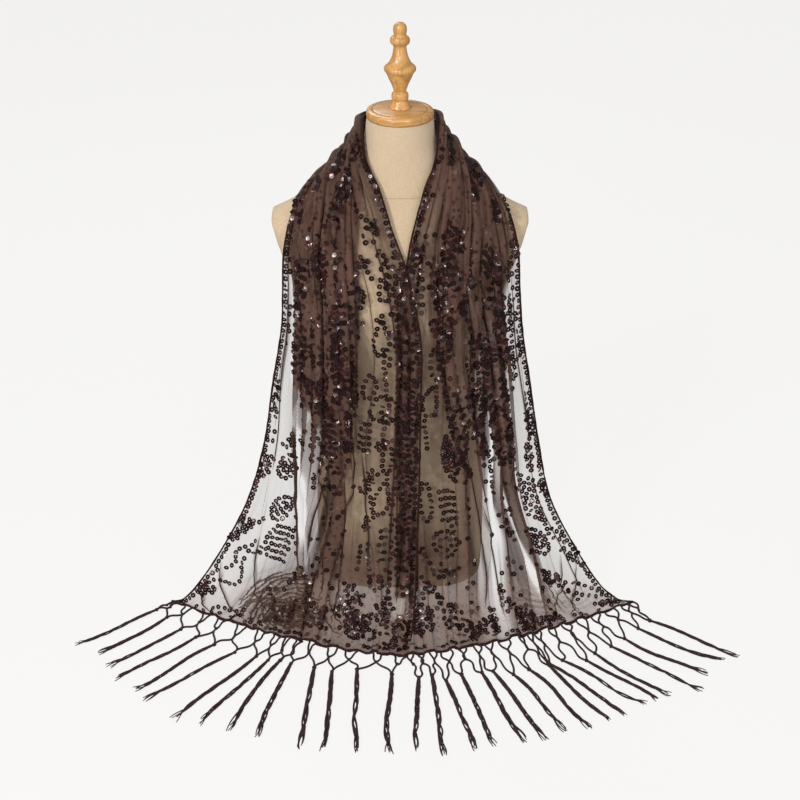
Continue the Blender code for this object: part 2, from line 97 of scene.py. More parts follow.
def makePiece(name, points, quads, material, node=None, uv=None, marks=None, smoothShade=True):
    # a mesh object from arrays: points (..., 3), quads (m, 4), uv (..., 2) and marks {name: (...)}
    mesh = bpy.data.meshes.new(name)
    points = np.ascontiguousarray(points.reshape(-1, 3), np.float32)
    quads = np.ascontiguousarray(quads, np.int32)
    mesh.vertices.add(len(points))
    mesh.vertices.foreach_set("co", points.ravel())
    mesh.loops.add(quads.size)
    mesh.loops.foreach_set("vertex_index", quads.ravel())
    mesh.polygons.add(len(quads))
    mesh.polygons.foreach_set("loop_start", np.arange(0, quads.size, 4, dtype=np.int32))
    mesh.update(calc_edges=True)
    mesh.polygons.foreach_set("use_smooth", np.full(len(quads), smoothShade))
    if uv is not None:
        corners = np.ascontiguousarray(uv.reshape(-1, 2)[quads.ravel()], np.float32)
        mesh.uv_layers.new(name="clothMap").data.foreach_set("uv", corners.ravel())
    for mark, values in (marks or {}).items():
        attribute = mesh.attributes.new(mark, "FLOAT", "POINT")
        attribute.data.foreach_set("value", np.ascontiguousarray(values.ravel(), np.float32))
    mesh.materials.append(material)
    item = addObject(name, mesh)
    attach(item, "root")
    if node:
        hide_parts(node)
    print(f"{name}: {len(points)} points, {len(quads) * 2} triangles")
    return item


def sweepTubes(paths, radii, sides, up=(0.0, 0.0, 1.0)):
    # Round tubes along many paths (n, k, 3): each point plus radius times
    # (cos a * side + sin a * rise); the ring closes to almost nothing at both ends.
    def capped(values, share=1.0):
        return np.concatenate((values[:, :1] * share, values, values[:, -1:] * share), 1)

    n, k = paths.shape[:2]
    run = unit(np.gradient(paths, axis=1))
    side = unit(np.cross(run, up))
    rise = capped(np.cross(side, run))
    paths, side = capped(paths), capped(side)
    radii = capped(np.broadcast_to(np.asarray(radii, float), (n, k)), 0.05)
    turn = -np.arange(sides) * math.tau / sides
    ring = side[:, :, None] * np.cos(turn)[:, None] + rise[:, :, None] * np.sin(turn)[:, None]
    points = paths[:, :, None] + ring * radii[:, :, None, None]
    quads = repeatQuads(gridQuads(k + 2, sides, closed=True), n, (k + 2) * sides)
    steps = np.linalg.norm(np.diff(paths, axis=1), axis=-1)
    length = np.concatenate((np.zeros((n, 1)), np.cumsum(steps, 1)), 1)
    uv = np.stack(np.broadcast_arrays(np.arange(sides) / sides, length[:, :, None]), -1)
    return points.reshape(-1, 3), quads, uv.reshape(-1, 2)


def joinParts(parts):
    # one list of points, quads and uv out of several
    counts = np.cumsum([0] + [len(p[0]) for p in parts[:-1]])
    return (np.concatenate([p[0] for p in parts]),
            np.concatenate([p[1] + c for p, c in zip(parts, counts)]),
            np.concatenate([p[2] for p in parts]))


def startMaterial(name):
    material = bpy.data.materials.new(name)
    material.use_nodes = True
    tree = material.node_tree
    return material, tree, tree.nodes["Principled BSDF"]


def feed(tree, node, sources):
    # each socket gets its value, or a link where the source is another node's socket
    for key, source in sources.items():
        if isinstance(source, bpy.types.NodeSocket):
            tree.links.new(source, node.inputs[key])
        else:
            node.inputs[key].default_value = source
    return node


def addNode(tree, kind, sources=None, **settings):
    node = tree.nodes.new("ShaderNode" + kind)
    for key, value in settings.items():
        setattr(node, key, value)
    return feed(tree, node, sources or {})


def mathNode(tree, operation, *sources, clamp=False):
    return addNode(tree, "Math", dict(enumerate(sources)), operation=operation, use_clamp=clamp).outputs[0]


def plus(tree, first, second):
    return mathNode(tree, "ADD", first, second)


def minus(tree, first, second):
    return mathNode(tree, "SUBTRACT", first, second)


def times(tree, first, second):
    return mathNode(tree, "MULTIPLY", first, second)


def mixColour(tree, factor, first, second):
    first, second = ((*colour, 1.0) if isinstance(colour, tuple) else colour for colour in (first, second))
    return addNode(tree, "Mix", {0: factor, 6: first, 7: second}, data_type="RGBA").outputs[2]


def remap(tree, source, low, high, toLow, toHigh):
    return addNode(tree, "MapRange", {0: source, 1: low, 2: high, 3: toLow, 4: toHigh}, clamp=True).outputs[0]


def noise(tree, place, scale, detail, distortion=0.0):
    sources = {"Vector": place, "Scale": scale, "Detail": detail, "Distortion": distortion}
    return addNode(tree, "TexNoise", sources).outputs[0]


def objectPlace(tree, scale=(1.0, 1.0, 1.0)):
    place = tree.nodes.new("ShaderNodeTexCoord").outputs["Object"]
    return addNode(tree, "Mapping", {"Vector": place, "Scale": scale}).outputs[0]


def clothPlace(tree):
    # metres along and across the cloth, or round and along a thread
    return addNode(tree, "UVMap", uv_map="clothMap").outputs[0]


def readMark(tree, name):
    return addNode(tree, "Attribute", attribute_name=name).outputs["Fac"]


def bumpFrom(tree, height, distance, strength):
    return addNode(tree, "Bump", {"Height": height, "Distance": distance, "Strength": strength}).outputs[0]


def startGroup(name, inputs, outputs):
    # a node group with named float or vector inputs and float outputs
    tree = bpy.data.node_groups.new(name, "ShaderNodeTree")
    for label, default in inputs.items():
        kind = "NodeSocketVector" if default is None else "NodeSocketFloat"
        socket = tree.interface.new_socket(label, in_out="INPUT", socket_type=kind)
        if default is not None:
            socket.default_value = default
    for label in outputs:
        tree.interface.new_socket(label, in_out="OUTPUT", socket_type="NodeSocketFloat")
    return tree, tree.nodes.new("NodeGroupInput").outputs, tree.nodes.new("NodeGroupOutput")


def useGroup(tree, group, sources):
    return addNode(tree, "Group", sources, node_tree=group).outputs


def makeWeaveGroup():
    # Plain weave: threads along x lie over and under threads along y, with slubs in both.
    inputs = {"Place": None, "Pitch": 0.001, "Slub": 0.4}
    tree, given, out = startGroup("plainWeave", inputs, ("Height", "Tone"))
    parts = addNode(tree, "SeparateXYZ", {0: given["Place"]}).outputs
    turns = mathNode(tree, "DIVIDE", math.pi, given["Pitch"])
    waves = [mathNode(tree, "SINE", times(tree, parts[k], turns)) for k in (0, 1)]
    slubs = []
    for stretch in ((60.0, 900.0, 60.0), (900.0, 60.0, 900.0)):
        place = addNode(tree, "VectorMath", {0: given["Place"], 1: stretch}, operation="MULTIPLY").outputs[0]
        slubs.append(noise(tree, place, 1.0, 1.0))
    slub = plus(tree, *slubs)
    threads = mathNode(tree, "ABSOLUTE", times(tree, *waves))
    height = plus(tree, threads, times(tree, slub, given["Slub"]))
    feed(tree, out, {"Height": height, "Tone": times(tree, slub, 0.5)})
    return tree


def makeMottleGroup():
    # Slow change of tone over a surface, with a finer one on top, both about one half.
    inputs = {"Place": None, "Size": 0.05, "Fine": 0.004}
    tree, given, out = startGroup("mottle", inputs, ("Slow", "Quick"))
    for key, size, detail in (("Slow", "Size", 3.0), ("Quick", "Fine", 2.0)):
        scale = mathNode(tree, "DIVIDE", 1.0, given[size])
        feed(tree, out, {key: noise(tree, given["Place"], scale, detail)})
    return tree


weaveGroup = makeWeaveGroup()
mottleGroup = makeMottleGroup()


def mottled(tree, size, fine):
    return useGroup(tree, mottleGroup, {"Place": objectPlace(tree), "Size": size, "Fine": fine})


camera = {
    "place": (0.0, -1.65, 1.3432),
    "pitch": 31.92,            # degrees below level
    "lens": 51.58,             # millimetres on a 36 mm sensor
}
lights = {                     # place, what it is aimed at, diameter, watts, colour
    "keyLight": ((-1.35, -1.60, 2.30), (0.0, -0.15, 0.35), 0.34, 34.5, (1.0, 0.985, 0.965)),
    "fillLight": ((1.9, -1.5, 1.9), (0.0, -0.10, 0.35), 1.60, 9.0, (0.985, 0.99, 1.0)),
    "backLight": ((-0.6, 1.9, 2.2), (0.0, 0.0, 0.45), 1.20, 16.0, (1.0, 1.0, 1.0)),
    "sparkLeft": ((-1.00, -2.10, 1.10), (-0.1, -0.15, 0.45), 0.17, 12.0, (1.0, 0.99, 0.97)),
    "sparkMiddle": ((-0.35, -2.30, 1.85), (0.0, -0.15, 0.35), 0.17, 12.0, (1.0, 0.99, 0.97)),
    "sparkRight": ((0.80, -2.10, 1.50), (0.1, -0.15, 0.35), 0.14, 8.0, (1.0, 0.99, 0.97)),
}
studio = {
    "seen": (0.905, 0.898, 0.885),      # what the camera sees beyond the floor
    "ambient": 0.50, "reflected": 0.22,
    "floorColour": (0.07, 0.0695, 0.0685), "floorHalf": 9.0, "floorHeight": -0.0005,
    "floorGlow": 0.938, "floorLight": 0.50, "floorShine": 0.16,     # to the camera, as light, in gloss
}


def makeCamera():
    data = bpy.data.cameras.new("camera")
    data.lens, data.sensor_width, data.clip_end = camera["lens"], 36.0, 60.0
    data.dof.use_dof = False
    item = addObject("camera", data)
    item.location = camera["place"]
    item.rotation_euler = (math.radians(90.0 - camera["pitch"]), 0.0, 0.0)
    bpy.context.scene.camera = item


def makeLights():
    for name, (place, aim, size, power, colour) in lights.items():
        data = bpy.data.lights.new(name, "AREA")
        data.shape, data.size, data.energy, data.color = "DISK", size, power, colour
        item = addObject(name, data)
        x, y, z = np.subtract(place, aim)
        item.location = place
        item.rotation_euler = (math.atan2(math.hypot(x, y), z), 0.0, math.atan2(x, -y))


def makeWorld():
    # pale beyond the floor, white light from all round, and dimmer in what shines
    world = bpy.data.worlds.new("studio")
    bpy.context.scene.world = world
    world.use_nodes = True
    tree = world.node_tree
    tree.nodes.clear()
    path = tree.nodes.new("ShaderNodeLightPath").outputs
    seen = addNode(tree, "Background", {"Color": (*studio["seen"], 1.0)}).outputs[0]
    ambient, reflected = (
        addNode(tree, "Background", {"Color": (1.0, 1.0, 1.0, 1.0), "Strength": studio[key]}).outputs[0]
        for key in ("ambient", "reflected"))
    lit = addNode(tree, "MixShader", {0: path["Is Glossy Ray"], 1: ambient, 2: reflected}).outputs[0]
    shown = addNode(tree, "MixShader", {0: path["Is Camera Ray"], 1: lit, 2: seen}).outputs[0]
    addNode(tree, "OutputWorld", {"Surface": shown})


def makeFloor():
    material, tree, shader = startMaterial("paleFloor")
    tone = remap(tree, mottled(tree, 1.4, 0.05)["Slow"], 0.3, 0.7, 0.992, 1.0)
    colour = addNode(tree, "HueSaturation", {"Color": (*studio["floorColour"], 1.0), "Value": tone}).outputs[0]
    path = tree.nodes.new("ShaderNodeLightPath").outputs
    lit = times(tree, path["Is Diffuse Ray"], studio["floorGlow"] - studio["floorLight"])
    shiny = times(tree, path["Is Glossy Ray"], studio["floorGlow"] - studio["floorShine"])
    feed(tree, shader, {"Base Color": colour, "Roughness": 0.9, "Specular IOR Level": 0.05,
                        "Emission Color": (*studio["seen"], 1.0),
                        "Emission Strength": minus(tree, minus(tree, studio["floorGlow"], lit), shiny)})
    half = studio["floorHalf"]
    corners = ((-half, -half), (half, -half), (half, half), (-half, half))
    mesh = bpy.data.meshes.new("studioFloor")
    mesh.from_pydata([(*corner, studio["floorHeight"]) for corner in corners], [], [(0, 1, 2, 3)])
    mesh.materials.append(material)
    addObject("studioFloor", mesh)


bpy.context.scene.view_settings.view_transform = "Standard"
bpy.context.scene.view_settings.look = "None"
bpy.context.scene.cycles.transparent_max_bounces = 40
bpy.context.scene.cycles.max_bounces = 8
makeCamera()
makeLights()
makeWorld()
makeFloor()
print("camera, lights, world and floor are set")


form = {
    "neckTop": 0.8056, "sides": 128, "rings": 150,
    "closerFrom": (0.55, 0.56),      # the share of the rings up to this height, which lie wider apart
    "plateTip": (0.196, 0.650), "plateSlant": 0.28, "armpit": 0.52, "sharp": 42.0,
    "weave": 0.0013, "weaveRadius": 0.11, "seam": 0.7015,
    "colour": (0.555, 0.434, 0.308), "shade": (0.452, 0.337, 0.218), "seamColour": (0.36, 0.26, 0.18),
}
formSections = np.array((     # height, half width, depth before and behind, squareness
    (0, .146, .115, .104, 3.5), (.08, .147, .115, .116, 3.2),
    (.17, .144, .108, .12, 2.7), (.265, .133, .096, .1, 2.3),
    (.355, .124, .085, .082, 2.2), (.44, .136, .102, .088, 2.2),
    (.515, .158, .124, .096, 2.2), (.575, .18, .108, .1, 2.1),
    (.625, .207, .088, .094, 1.9), (.65, .214, .075, .084, 1.8),
    (.67, .178, .068, .076, 1.8), (.69, .14, .062, .068, 1.8),
    (.71, .105, .058, .062, 1.9), (.733, .077, .054, .056, 2),
    (.765, .057, .051, .051, 2), (.8056, .049, .049, .049, 2),
))
fineHeights = np.linspace(0.0, form["neckTop"], 1600)
fineSections = splineWeights(formSections[:, 0], fineHeights) @ formSections[:, 1:]


def formSection(height):
    return [np.interp(height, fineHeights, column) for column in fineSections.T]


def formLevel(points):
    # 1 on the form's outline: ((|x| / half width)^p + (|y| / depth)^p)^(1 / p)
    x, y, z = np.moveaxis(points, -1, 0)
    halfWidth, front, back, power = formSection(z)
    depth = np.where(y < 0, front, back)
    return ((np.abs(x) / halfWidth) ** power + (np.abs(y) / depth) ** power) ** (1 / power)


def clearOfForm(points, air):
    # points moved straight out of the form until this much air is left
    step = 0.0005
    for _ in range(4):
        level = formLevel(points)
        slope = np.stack([formLevel(points + step * axis) - formLevel(points - step * axis)
                          for axis in np.eye(3)], -1) / (2 * step)
        steepness = np.linalg.norm(slope, axis=-1)
        push = np.maximum(air - (level - 1) / steepness, 0)
        points = points + slope / steepness[..., None] * push[..., None]
    return points


def makeLinen():
    material, tree, shader = startMaterial("formLinen")
    # round the body the weave follows the turn of the form, so x is arc length about it
    parts = addNode(tree, "SeparateXYZ", {0: objectPlace(tree)}).outputs
    turn = times(tree, mathNode(tree, "ARCTAN2", parts[0], parts[1]), form["weaveRadius"])
    rolled = addNode(tree, "CombineXYZ", {0: turn, 1: parts[2], 2: 0.0}).outputs[0]
    weave = useGroup(tree, weaveGroup, {"Place": rolled, "Pitch": form["weave"], "Slub": 0.7})
    mottle = mottled(tree, 0.12, 0.006)
    tone = plus(tree, remap(tree, weave["Tone"], 0.38, 0.62, 0.0, 0.70),
                remap(tree, mottle["Slow"], 0.3, 0.7, 0.0, 0.35))
    colour = mixColour(tree, tone, form["colour"], form["shade"])
    # a fine sewn seam round the base of the neck
    off = mathNode(tree, "ABSOLUTE", minus(tree, parts[2], form["seam"]))
    seam = remap(tree, off, 0.0003, 0.0013, 1.0, 0.0)
    height = minus(tree, times(tree, weave["Height"], 0.35), times(tree, seam, 1.6))
    feed(tree, shader, {"Base Color": mixColour(tree, times(tree, seam, 0.42), colour, form["seamColour"]),
                        "Normal": bumpFrom(tree, height, 0.0004, 0.8),
                        "Roughness": remap(tree, mottle["Quick"], 0.3, 0.7, 0.82, 0.93),
                        "Specular IOR Level": 0.22, "Sheen Weight": 0.12})
    return material


def makeForm():
    # A loft: each ring is (halfWidth * cos^(2/p), depth * sin^(2/p)), cut flat at the arm plates.
    rings, sides = form["rings"], form["sides"]
    share, closer = form["closerFrom"]
    heights = np.interp(np.linspace(0, 1, rings), (0, share, 1), (0, closer, form["neckTop"]))
    halfWidth, front, back, squareness = (c[:, None] for c in formSection(heights))
    turn = np.arange(sides) * math.tau / sides
    power = 2 / squareness
    x = halfWidth * np.sign(np.cos(turn)) * np.abs(np.cos(turn)) ** power
    depth = np.where(np.sin(turn) < 0, front, back)
    y = depth * np.sign(np.sin(turn)) * np.abs(np.sin(turn)) ** power
    tip, tipHeight = form["plateTip"]
    plate = tip - form["plateSlant"] * np.maximum(tipHeight - heights, 0)
    limit = np.where(heights > form["armpit"], plate, 1.0)[:, None]
    points = np.stack((np.clip(x, -limit, limit), y, np.broadcast_to(heights[:, None], x.shape)), -1)
    closed = 0.02, 0.02, 1.0         # both ends close to a small ring at the middle
    points = np.concatenate((points[:1] * closed, points, points[-1:] * closed))
    quads = gridQuads(rings + 2, sides, closed=True)
    item = makePiece("formBody", points, quads, makeLinen(), "form_torso")
    item.data.set_sharp_from_angle(angle=math.radians(form["sharp"]))
    return item


formBody = makeForm()


turning = {
    "sides": 96, "finer": 5, "gap": 0.0003, "capThickness": 0.014, "pole": 0.0004, "sharp": 50.0,
    "pale": (0.590, 0.322, 0.106), "dark": (0.375, 0.178, 0.048), "pore": (0.220, 0.095, 0.030),
}
capOutline = np.array((       # radius and height above its own bottom
    (.0475, 0), (.0492, .0012), (.05, .0045), (.0496, .0085), (.0478, .0112),
    (.042, .0122), (.0405, .0112), (.039, .0128), (.025, .014),
))
finialOutline = np.array((
    (.0165, 0), (.016, .002), (.0112, .0105), (.0122, .013), (.0125, .017),
    (.0118, .0208), (.0092, .0232), (.0096, .0262), (.0128, .035), (.0172, .044),
    (.02, .0505), (.0228, .054), (.0232, .0575), (.0216, .0602), (.0158, .066),
    (.0116, .075), (.0095, .0855), (.01, .0895), (.0136, .093), (.0143, .0967),
    (.0132, .1006), (.0092, .1038), (.0098, .111), (.0088, .117), (.005, .121),
))


def makeWood(name, stretch):
    # growth rings: a sine of noise that is stretched along the grain, with fine dark pores
    material, tree, shader = startMaterial(name)
    grain = mathNode(tree, "SINE", times(tree, noise(tree, objectPlace(tree, stretch), 0.9, 3.0, 0.6), 34.0))
    fine = noise(tree, objectPlace(tree, tuple(s * 14 for s in stretch)), 1.0, 2.0)
    tone = plus(tree, remap(tree, grain, -1.0, 1.0, 0.0, 0.65), remap(tree, fine, 0.35, 0.7, 0.0, 0.35))
    colour = mixColour(tree, tone, turning["pale"], turning["dark"])
    pores = remap(tree, fine, 0.62, 0.74, 0.0, 0.45)
    feed(tree, shader, {"Base Color": mixColour(tree, pores, colour, turning["pore"]),
                        "Normal": bumpFrom(tree, plus(tree, grain, fine), 0.00012, 0.5),
                        "Roughness": remap(tree, fine, 0.3, 0.7, 0.30, 0.42),
                        "Coat Weight": 0.22, "Coat Roughness": 0.18})
    return material


def turned(name, outline, bottom, material, node):
    # radius r and height h carried round the axis: (r cos a, r sin a, h)
    last = len(outline) - 1
    fine = splineWeights(np.arange(last + 1), np.linspace(0, last, last * turning["finer"] + 1)) @ outline
    fine = np.concatenate(([(turning["pole"], fine[0, 1])], fine, [(turning["pole"], fine[-1, 1])]))
    turn = np.arange(turning["sides"]) * math.tau / turning["sides"]
    points = np.stack((fine[:, :1] * np.cos(turn), fine[:, :1] * np.sin(turn),
                       np.broadcast_to(bottom + fine[:, 1:], (len(fine), len(turn)))), -1)
    item = makePiece(name, points, gridQuads(len(fine), len(turn), closed=True), material, node)
    item.data.set_sharp_from_angle(angle=math.radians(turning["sharp"]))


capBottom = form["neckTop"] + turning["gap"]
finialBottom = capBottom + turning["capThickness"] + turning["gap"]
turned("neckCap", capOutline, capBottom, makeWood("capWood", (6.0, 60.0, 60.0)), "neck_cap")
turned("finialPost", finialOutline, finialBottom, makeWood("finialWood", (46.0, 46.0, 5.0)), "finial")
print("form, cap and finial are turned")


stole = {
    "hem": 1.010, "shoulder": 0.140, "width": 0.50,
    "fallRows": 292, "neckRows": 92, "columns": 320, "fineColumns": 960,
    "air": 0.0013, "floorAir": 0.0012,
    "margin": 0.004,             # what is sewn on stays this far from the hem
    "neckEnd": (0.10, 0.06),     # where the cloth round the nape ends, and how slowly
    "neckLayers": 8.0, "neckPleats": 3.5,
    "creaseFull": 6.0,           # millimetres from which a crease counts in full
    "creaseLayers": 0.45,        # how much denser a crease is than the cloth beside it
    "edgeLayers": 3.0,           # layers that it adds along its two edges
    "edgeAt": (0.86, 0.11),      # where those edges lie and how wide, in half widths
    "leastLayers": 0.35,
    "fullness": 0.45,            # how much more cloth goes where there are more layers, as a power
    "hemLayers": 6.0, "hemTurn": 0.010,      # where the hem is turned under
    "crestWindow": 24, "crest": 0.0032,      # points to each side that a crest is compared with, its height
    "flatFrom": (0.86, 0.07), "flatPaintedLight": 2.5,     # it lies flat near the hem, where painted light makes it paler
    "pinch": 0.80,               # how far a fold's flanks overhang, in half widths
    "pleats": 17, "pleatHeight": 0.0046,     # fine pleats between the two edges where it is gathered
    "waves": 13, "waveHeight": 0.0046,       # soft waves everywhere
    "edgeFade": 0.06,            # they die out over this reach
    "pleatSoft": 0.007,          # a band with a softer edge than this is pleated
    # how pleats and waves stray: how far, waves along, waves across, where they start
    "pleatDrift": ((0.010, 11.0, 0.0, 0.0), (0.006, 27.0, 9.0, 0.0)),
    "pleatBunch": ((0.034, 3.0, 13.0, 0.0), (0.008, 0.0, 31.0, 0.0)),
    "waveDrift": ((0.03, 6.0, 0.0, 1.0), (0.018, 15.0, 12.0, 0.0)),
    "waveBunch": ((0.03, 0.0, 11.0, 0.0),),
    "labelAt": (-0.9255, 0.053), "labelGap": (0.020, 0.021),     # it is opened out round the care label
}
# Sections across the cloth: along, the x, y and z of the inner and of the outer edge, and as powers
# how it bends back between them and how it tucks in to the neck; then how far its middle swells.
sectionEdges = np.array((
    (-1.01, .012, -.288, .0034, -.394, -.153, .0009, 1.6, 1, 0),
    (-.975, .018, -.248, .005, -.376, -.151, .003, 1.6, 1, 0),
    (-.93, .024, -.206, .03, -.349, -.145, .03, 1.7, 1, 0),
    (-.84, .028, -.167, .132, -.303, -.131, .098, 1.8, 1, 0),
    (-.73, .031, -.153, .255, -.256, -.113, .185, 2, 1, 0),
    (-.61, .032, -.146, .38, -.224, -.094, .283, 2.1, 1, 0),
    (-.49, .031, -.138, .504, -.204, -.078, .392, 2.2, 1, .006),
    (-.385, .009, -.106, .608, -.185, -.067, .493, 2, 1, .017),
    (-.33, -.01, -.082, .655, -.181, -.063, .547, 1.7, 1, .014),
    (-.26, -.031, -.063, .718, -.176, -.057, .615, 1.4, 1, .004),
    (-.2, -.051, -.041, .758, -.164, -.042, .665, 1.2, 1.2, 0),
    (-.14, -.054, 0, .801, -.142, 0, .6905, 1.1, 1.6, 0),
    (-.07, -.039, .039, .8, -.092, .07, .696, 1.3, 1.35, 0),
    (0, 0, .055, .798, 0, .088, .69, 1.35, 1.35, 0),
    (.07, .039, .039, .8, .092, .07, .696, 1.3, 1.35, 0),
    (.14, .054, 0, .801, .142, 0, .6905, 1.1, 1.6, 0),
    (.2, .052, -.041, .755, .165, -.04, .668, 1.2, 1.2, 0),
    (.26, .037, -.063, .72, .179, -.055, .617, 1.4, 1, .004),
    (.33, .02, -.08, .66, .185, -.062, .549, 1.7, 1, .014),
    (.385, .011, -.099, .617, .191, -.066, .491, 2, 1, .016),
    (.49, -.003, -.132, .508, .208, -.076, .395, 2.2, 1, .004),
    (.61, -.005, -.14, .384, .228, -.094, .286, 2.1, 1, 0),
    (.73, -.005, -.147, .258, .252, -.11, .188, 2, 1, 0),
    (.84, -.005, -.161, .132, .3, -.13, .097, 1.8, 1, 0),
    (.93, -.005, -.2, .025, .345, -.145, .03, 1.7, 1, 0),
    (.975, -.0045, -.242, .002, .378, -.151, .003, 1.6, 1, 0),
    (1.01, -.004, -.284, .0009, .402, -.155, .0009, 1.6, 1, 0),
))
# Creases, one row each from the inner edge outwards: the reach of its crest
# and how many millimetres it stands out, at these places along the stole; then half widths by
# place, and for each crease how wide it is against them and how far it leans.
creaseLevels = np.array((-1.01, -.90, -.78, -.61, -.45, -.33, -.24, -.14, 0,
                         .14, .24, .33, .45, .61, .78, .90, 1.01))
creasePlaces = np.array((
    (.04, .04, .04, .04, .05, .06, .07, .06, .06, .06, .07, .07, .06, .05, .05, .05, .05),
    (.10, .11, .13, .16, .17, .19, .18, .14, .14, .14, .13, .15, .15, .13, .13, .13, .13),
    (.13, .17, .26, .41, .42, .37, .28, .22, .22, .22, .20, .24, .31, .29, .27, .24, .22),
    (.30, .33, .37, .46, .48, .44, .36, .30, .30, .30, .28, .32, .34, .42, .385, .33, .28),
    (.40, .435, .42, .51, .54, .51, .44, .38, .38, .38, .36, .40, .41, .49, .52, .43, .38),
    (.47, .52, .585, .56, .60, .58, .52, .46, .46, .46, .43, .47, .59, .56, .55, .50, .45),
    (.52, .56, .62, .63, .66, .65, .60, .54, .54, .54, .50, .53, .62, .68, .61, .55, .48),
    (.58, .62, .66, .69, .72, .72, .68, .62, .62, .62, .60, .64, .72, .72, .725, .69, .60),
    (.45, .53, .635, .755, .79, .79, .76, .70, .70, .70, .70, .74, .79, .78, .77, .74, .68),
    (.70, .72, .76, .84, .855, .86, .84, .78, .78, .78, .79, .83, .85, .86, .83, .80, .76),
    (.80, .79, .855, .925, .93, .93, .91, .86, .86, .86, .88, .90, .92, .91, .85, .80, .80),
    (.93, .93, .95, .965, .965, .965, .96, .94, .94, .94, .95, .96, .965, .965, .95, .93, .93),
))
creaseDepths = np.array((
    (1, .8, .6, .6, 1, 2, 3, 5.5, 5.5, 5.5, 3, 2, 1, .6, .6, .8, 1),
    (2, 2, 2, 1, 1, 2, 4, 7, 7, 7, 5, 4, 2, 1, 2, 2, 2),
    (3, 3, 2.5, 4, 6, 6, 7, 8.5, 8.5, 8.5, 7, 8, 7, 2, 2, 3, 3),
    (2, 2, 4, 9, 12, 12, 10, 8.5, 8.5, 8.5, 10, 12, 11, 7, 8, 7, 4),
    (4, 7, 9, 12, 14, 14, 11, 8.5, 8.5, 8.5, 11, 13, 11, 6, 4, 3, 2),
    (1, 2, 4, 7, 13, 14, 11, 8.5, 8.5, 8.5, 11, 13, 9, 6, 2, 0, 0),
    (0, 0, 0, 7, 13, 14, 11, 8.5, 8.5, 8.5, 10, 10, 6, 8, 7, 6, 4),
    (0, 0, 0, 7, 13, 13, 11, 8.5, 8.5, 8.5, 9, 7, 8, 12, 10, 7, 4),
    (4, 7, 8, 11, 13, 12, 11, 8.5, 8.5, 8.5, 8, 6, 8, 12, 3, 2, 2),
    (3, 2, 1, 2, 3, 4, 6, 8.5, 8.5, 8.5, 5, 3, 3, 3, 2, 3, 3),
    (2, 2, 3, 3, 3, 2, 4, 8.5, 8.5, 8.5, 4, 2, 2, 3, 3, 2, 2),
    (1, 1, 1, 1, 1, 1, 2, 7, 7, 7, 3, 1, 1, 1, 1, 1, 1),
))
creaseHalfWidths = np.array((.0100, .0085, .0075, .0078, .0080, .0080, .0074, .0056, .0056,
                             .0056, .0074, .0080, .0080, .0078, .0075, .0085, .0100))
creaseSpread = (1, 1, .55, 1, 1.20, .7, .85, 1, .60, .8, .36, .7)
creaseLean = (0, .1, .3, .1, .4, -.2, .3, .5, .3, .2, .1, 0)
# How many layers of net lie on one another away from the creases, at nine levels down the
# left (-1) and the right fall (rows) and at eight places of reach (columns).
bandLevels = np.array((.14, .24, .33, .45, .61, .69, .78, .90, 1.01))
plainReach = np.array((0, .15, .30, .45, .60, .75, .90, 1))
plainLayers = {
    -1: np.array((
        (4, 4, 4, 4, 4, 4, 3.5, 3), (4, 3.2, 2.2, 3.2, 4, 4, 2.2, 1.6),
        (2.6, 1.4, .7, 2.4, 3, 2.6, 1.2, 1.2), (2.2, 1.1, .5, 2.2, 3, 2.4, 1, 1.3),
        (2.5, 1.9, .9, 2.6, 2.6, 1.2, .8, .9), (2.6, 2.2, .5, 1.6, 2.6, .9, .9, 1),
        (2.6, 2.2, .5, 2.6, 2.4, .9, 1, 1), (8, 9, 9, 9, 5, 2.2, 1.2, 1.1),
        (12, 14, 15, 14, 8.5, 4.2, 2.8, 3))),
    1: np.array((
        (3, 4, 4, 4, 3.6, 2.6, 1.6, 1.2), (2, 2.8, 4, 4, 3, 2.2, 1.7, 1.5),
        (2, 2.6, 3.2, 1.8, 2.4, 2.2, 1.4, 1.5), (2, 1.8, 1.7, 2.6, 2.6, 2.2, 1.2, 1.3),
        (2, .7, 1.7, 2.8, 3, 1.4, 1.1, 1.2), (2, .6, 1.6, 2.8, 2.4, 1.2, .8, .9),
        (2, 1.4, 1.9, 2.6, 1.8, 1.4, .9, 1), (8, 9, 8.5, 2.6, 3.6, 2.2, 1.5, 1.4),
        (12, 13, 12, 4, 5, 4.6, 3.6, 3.6))),
}
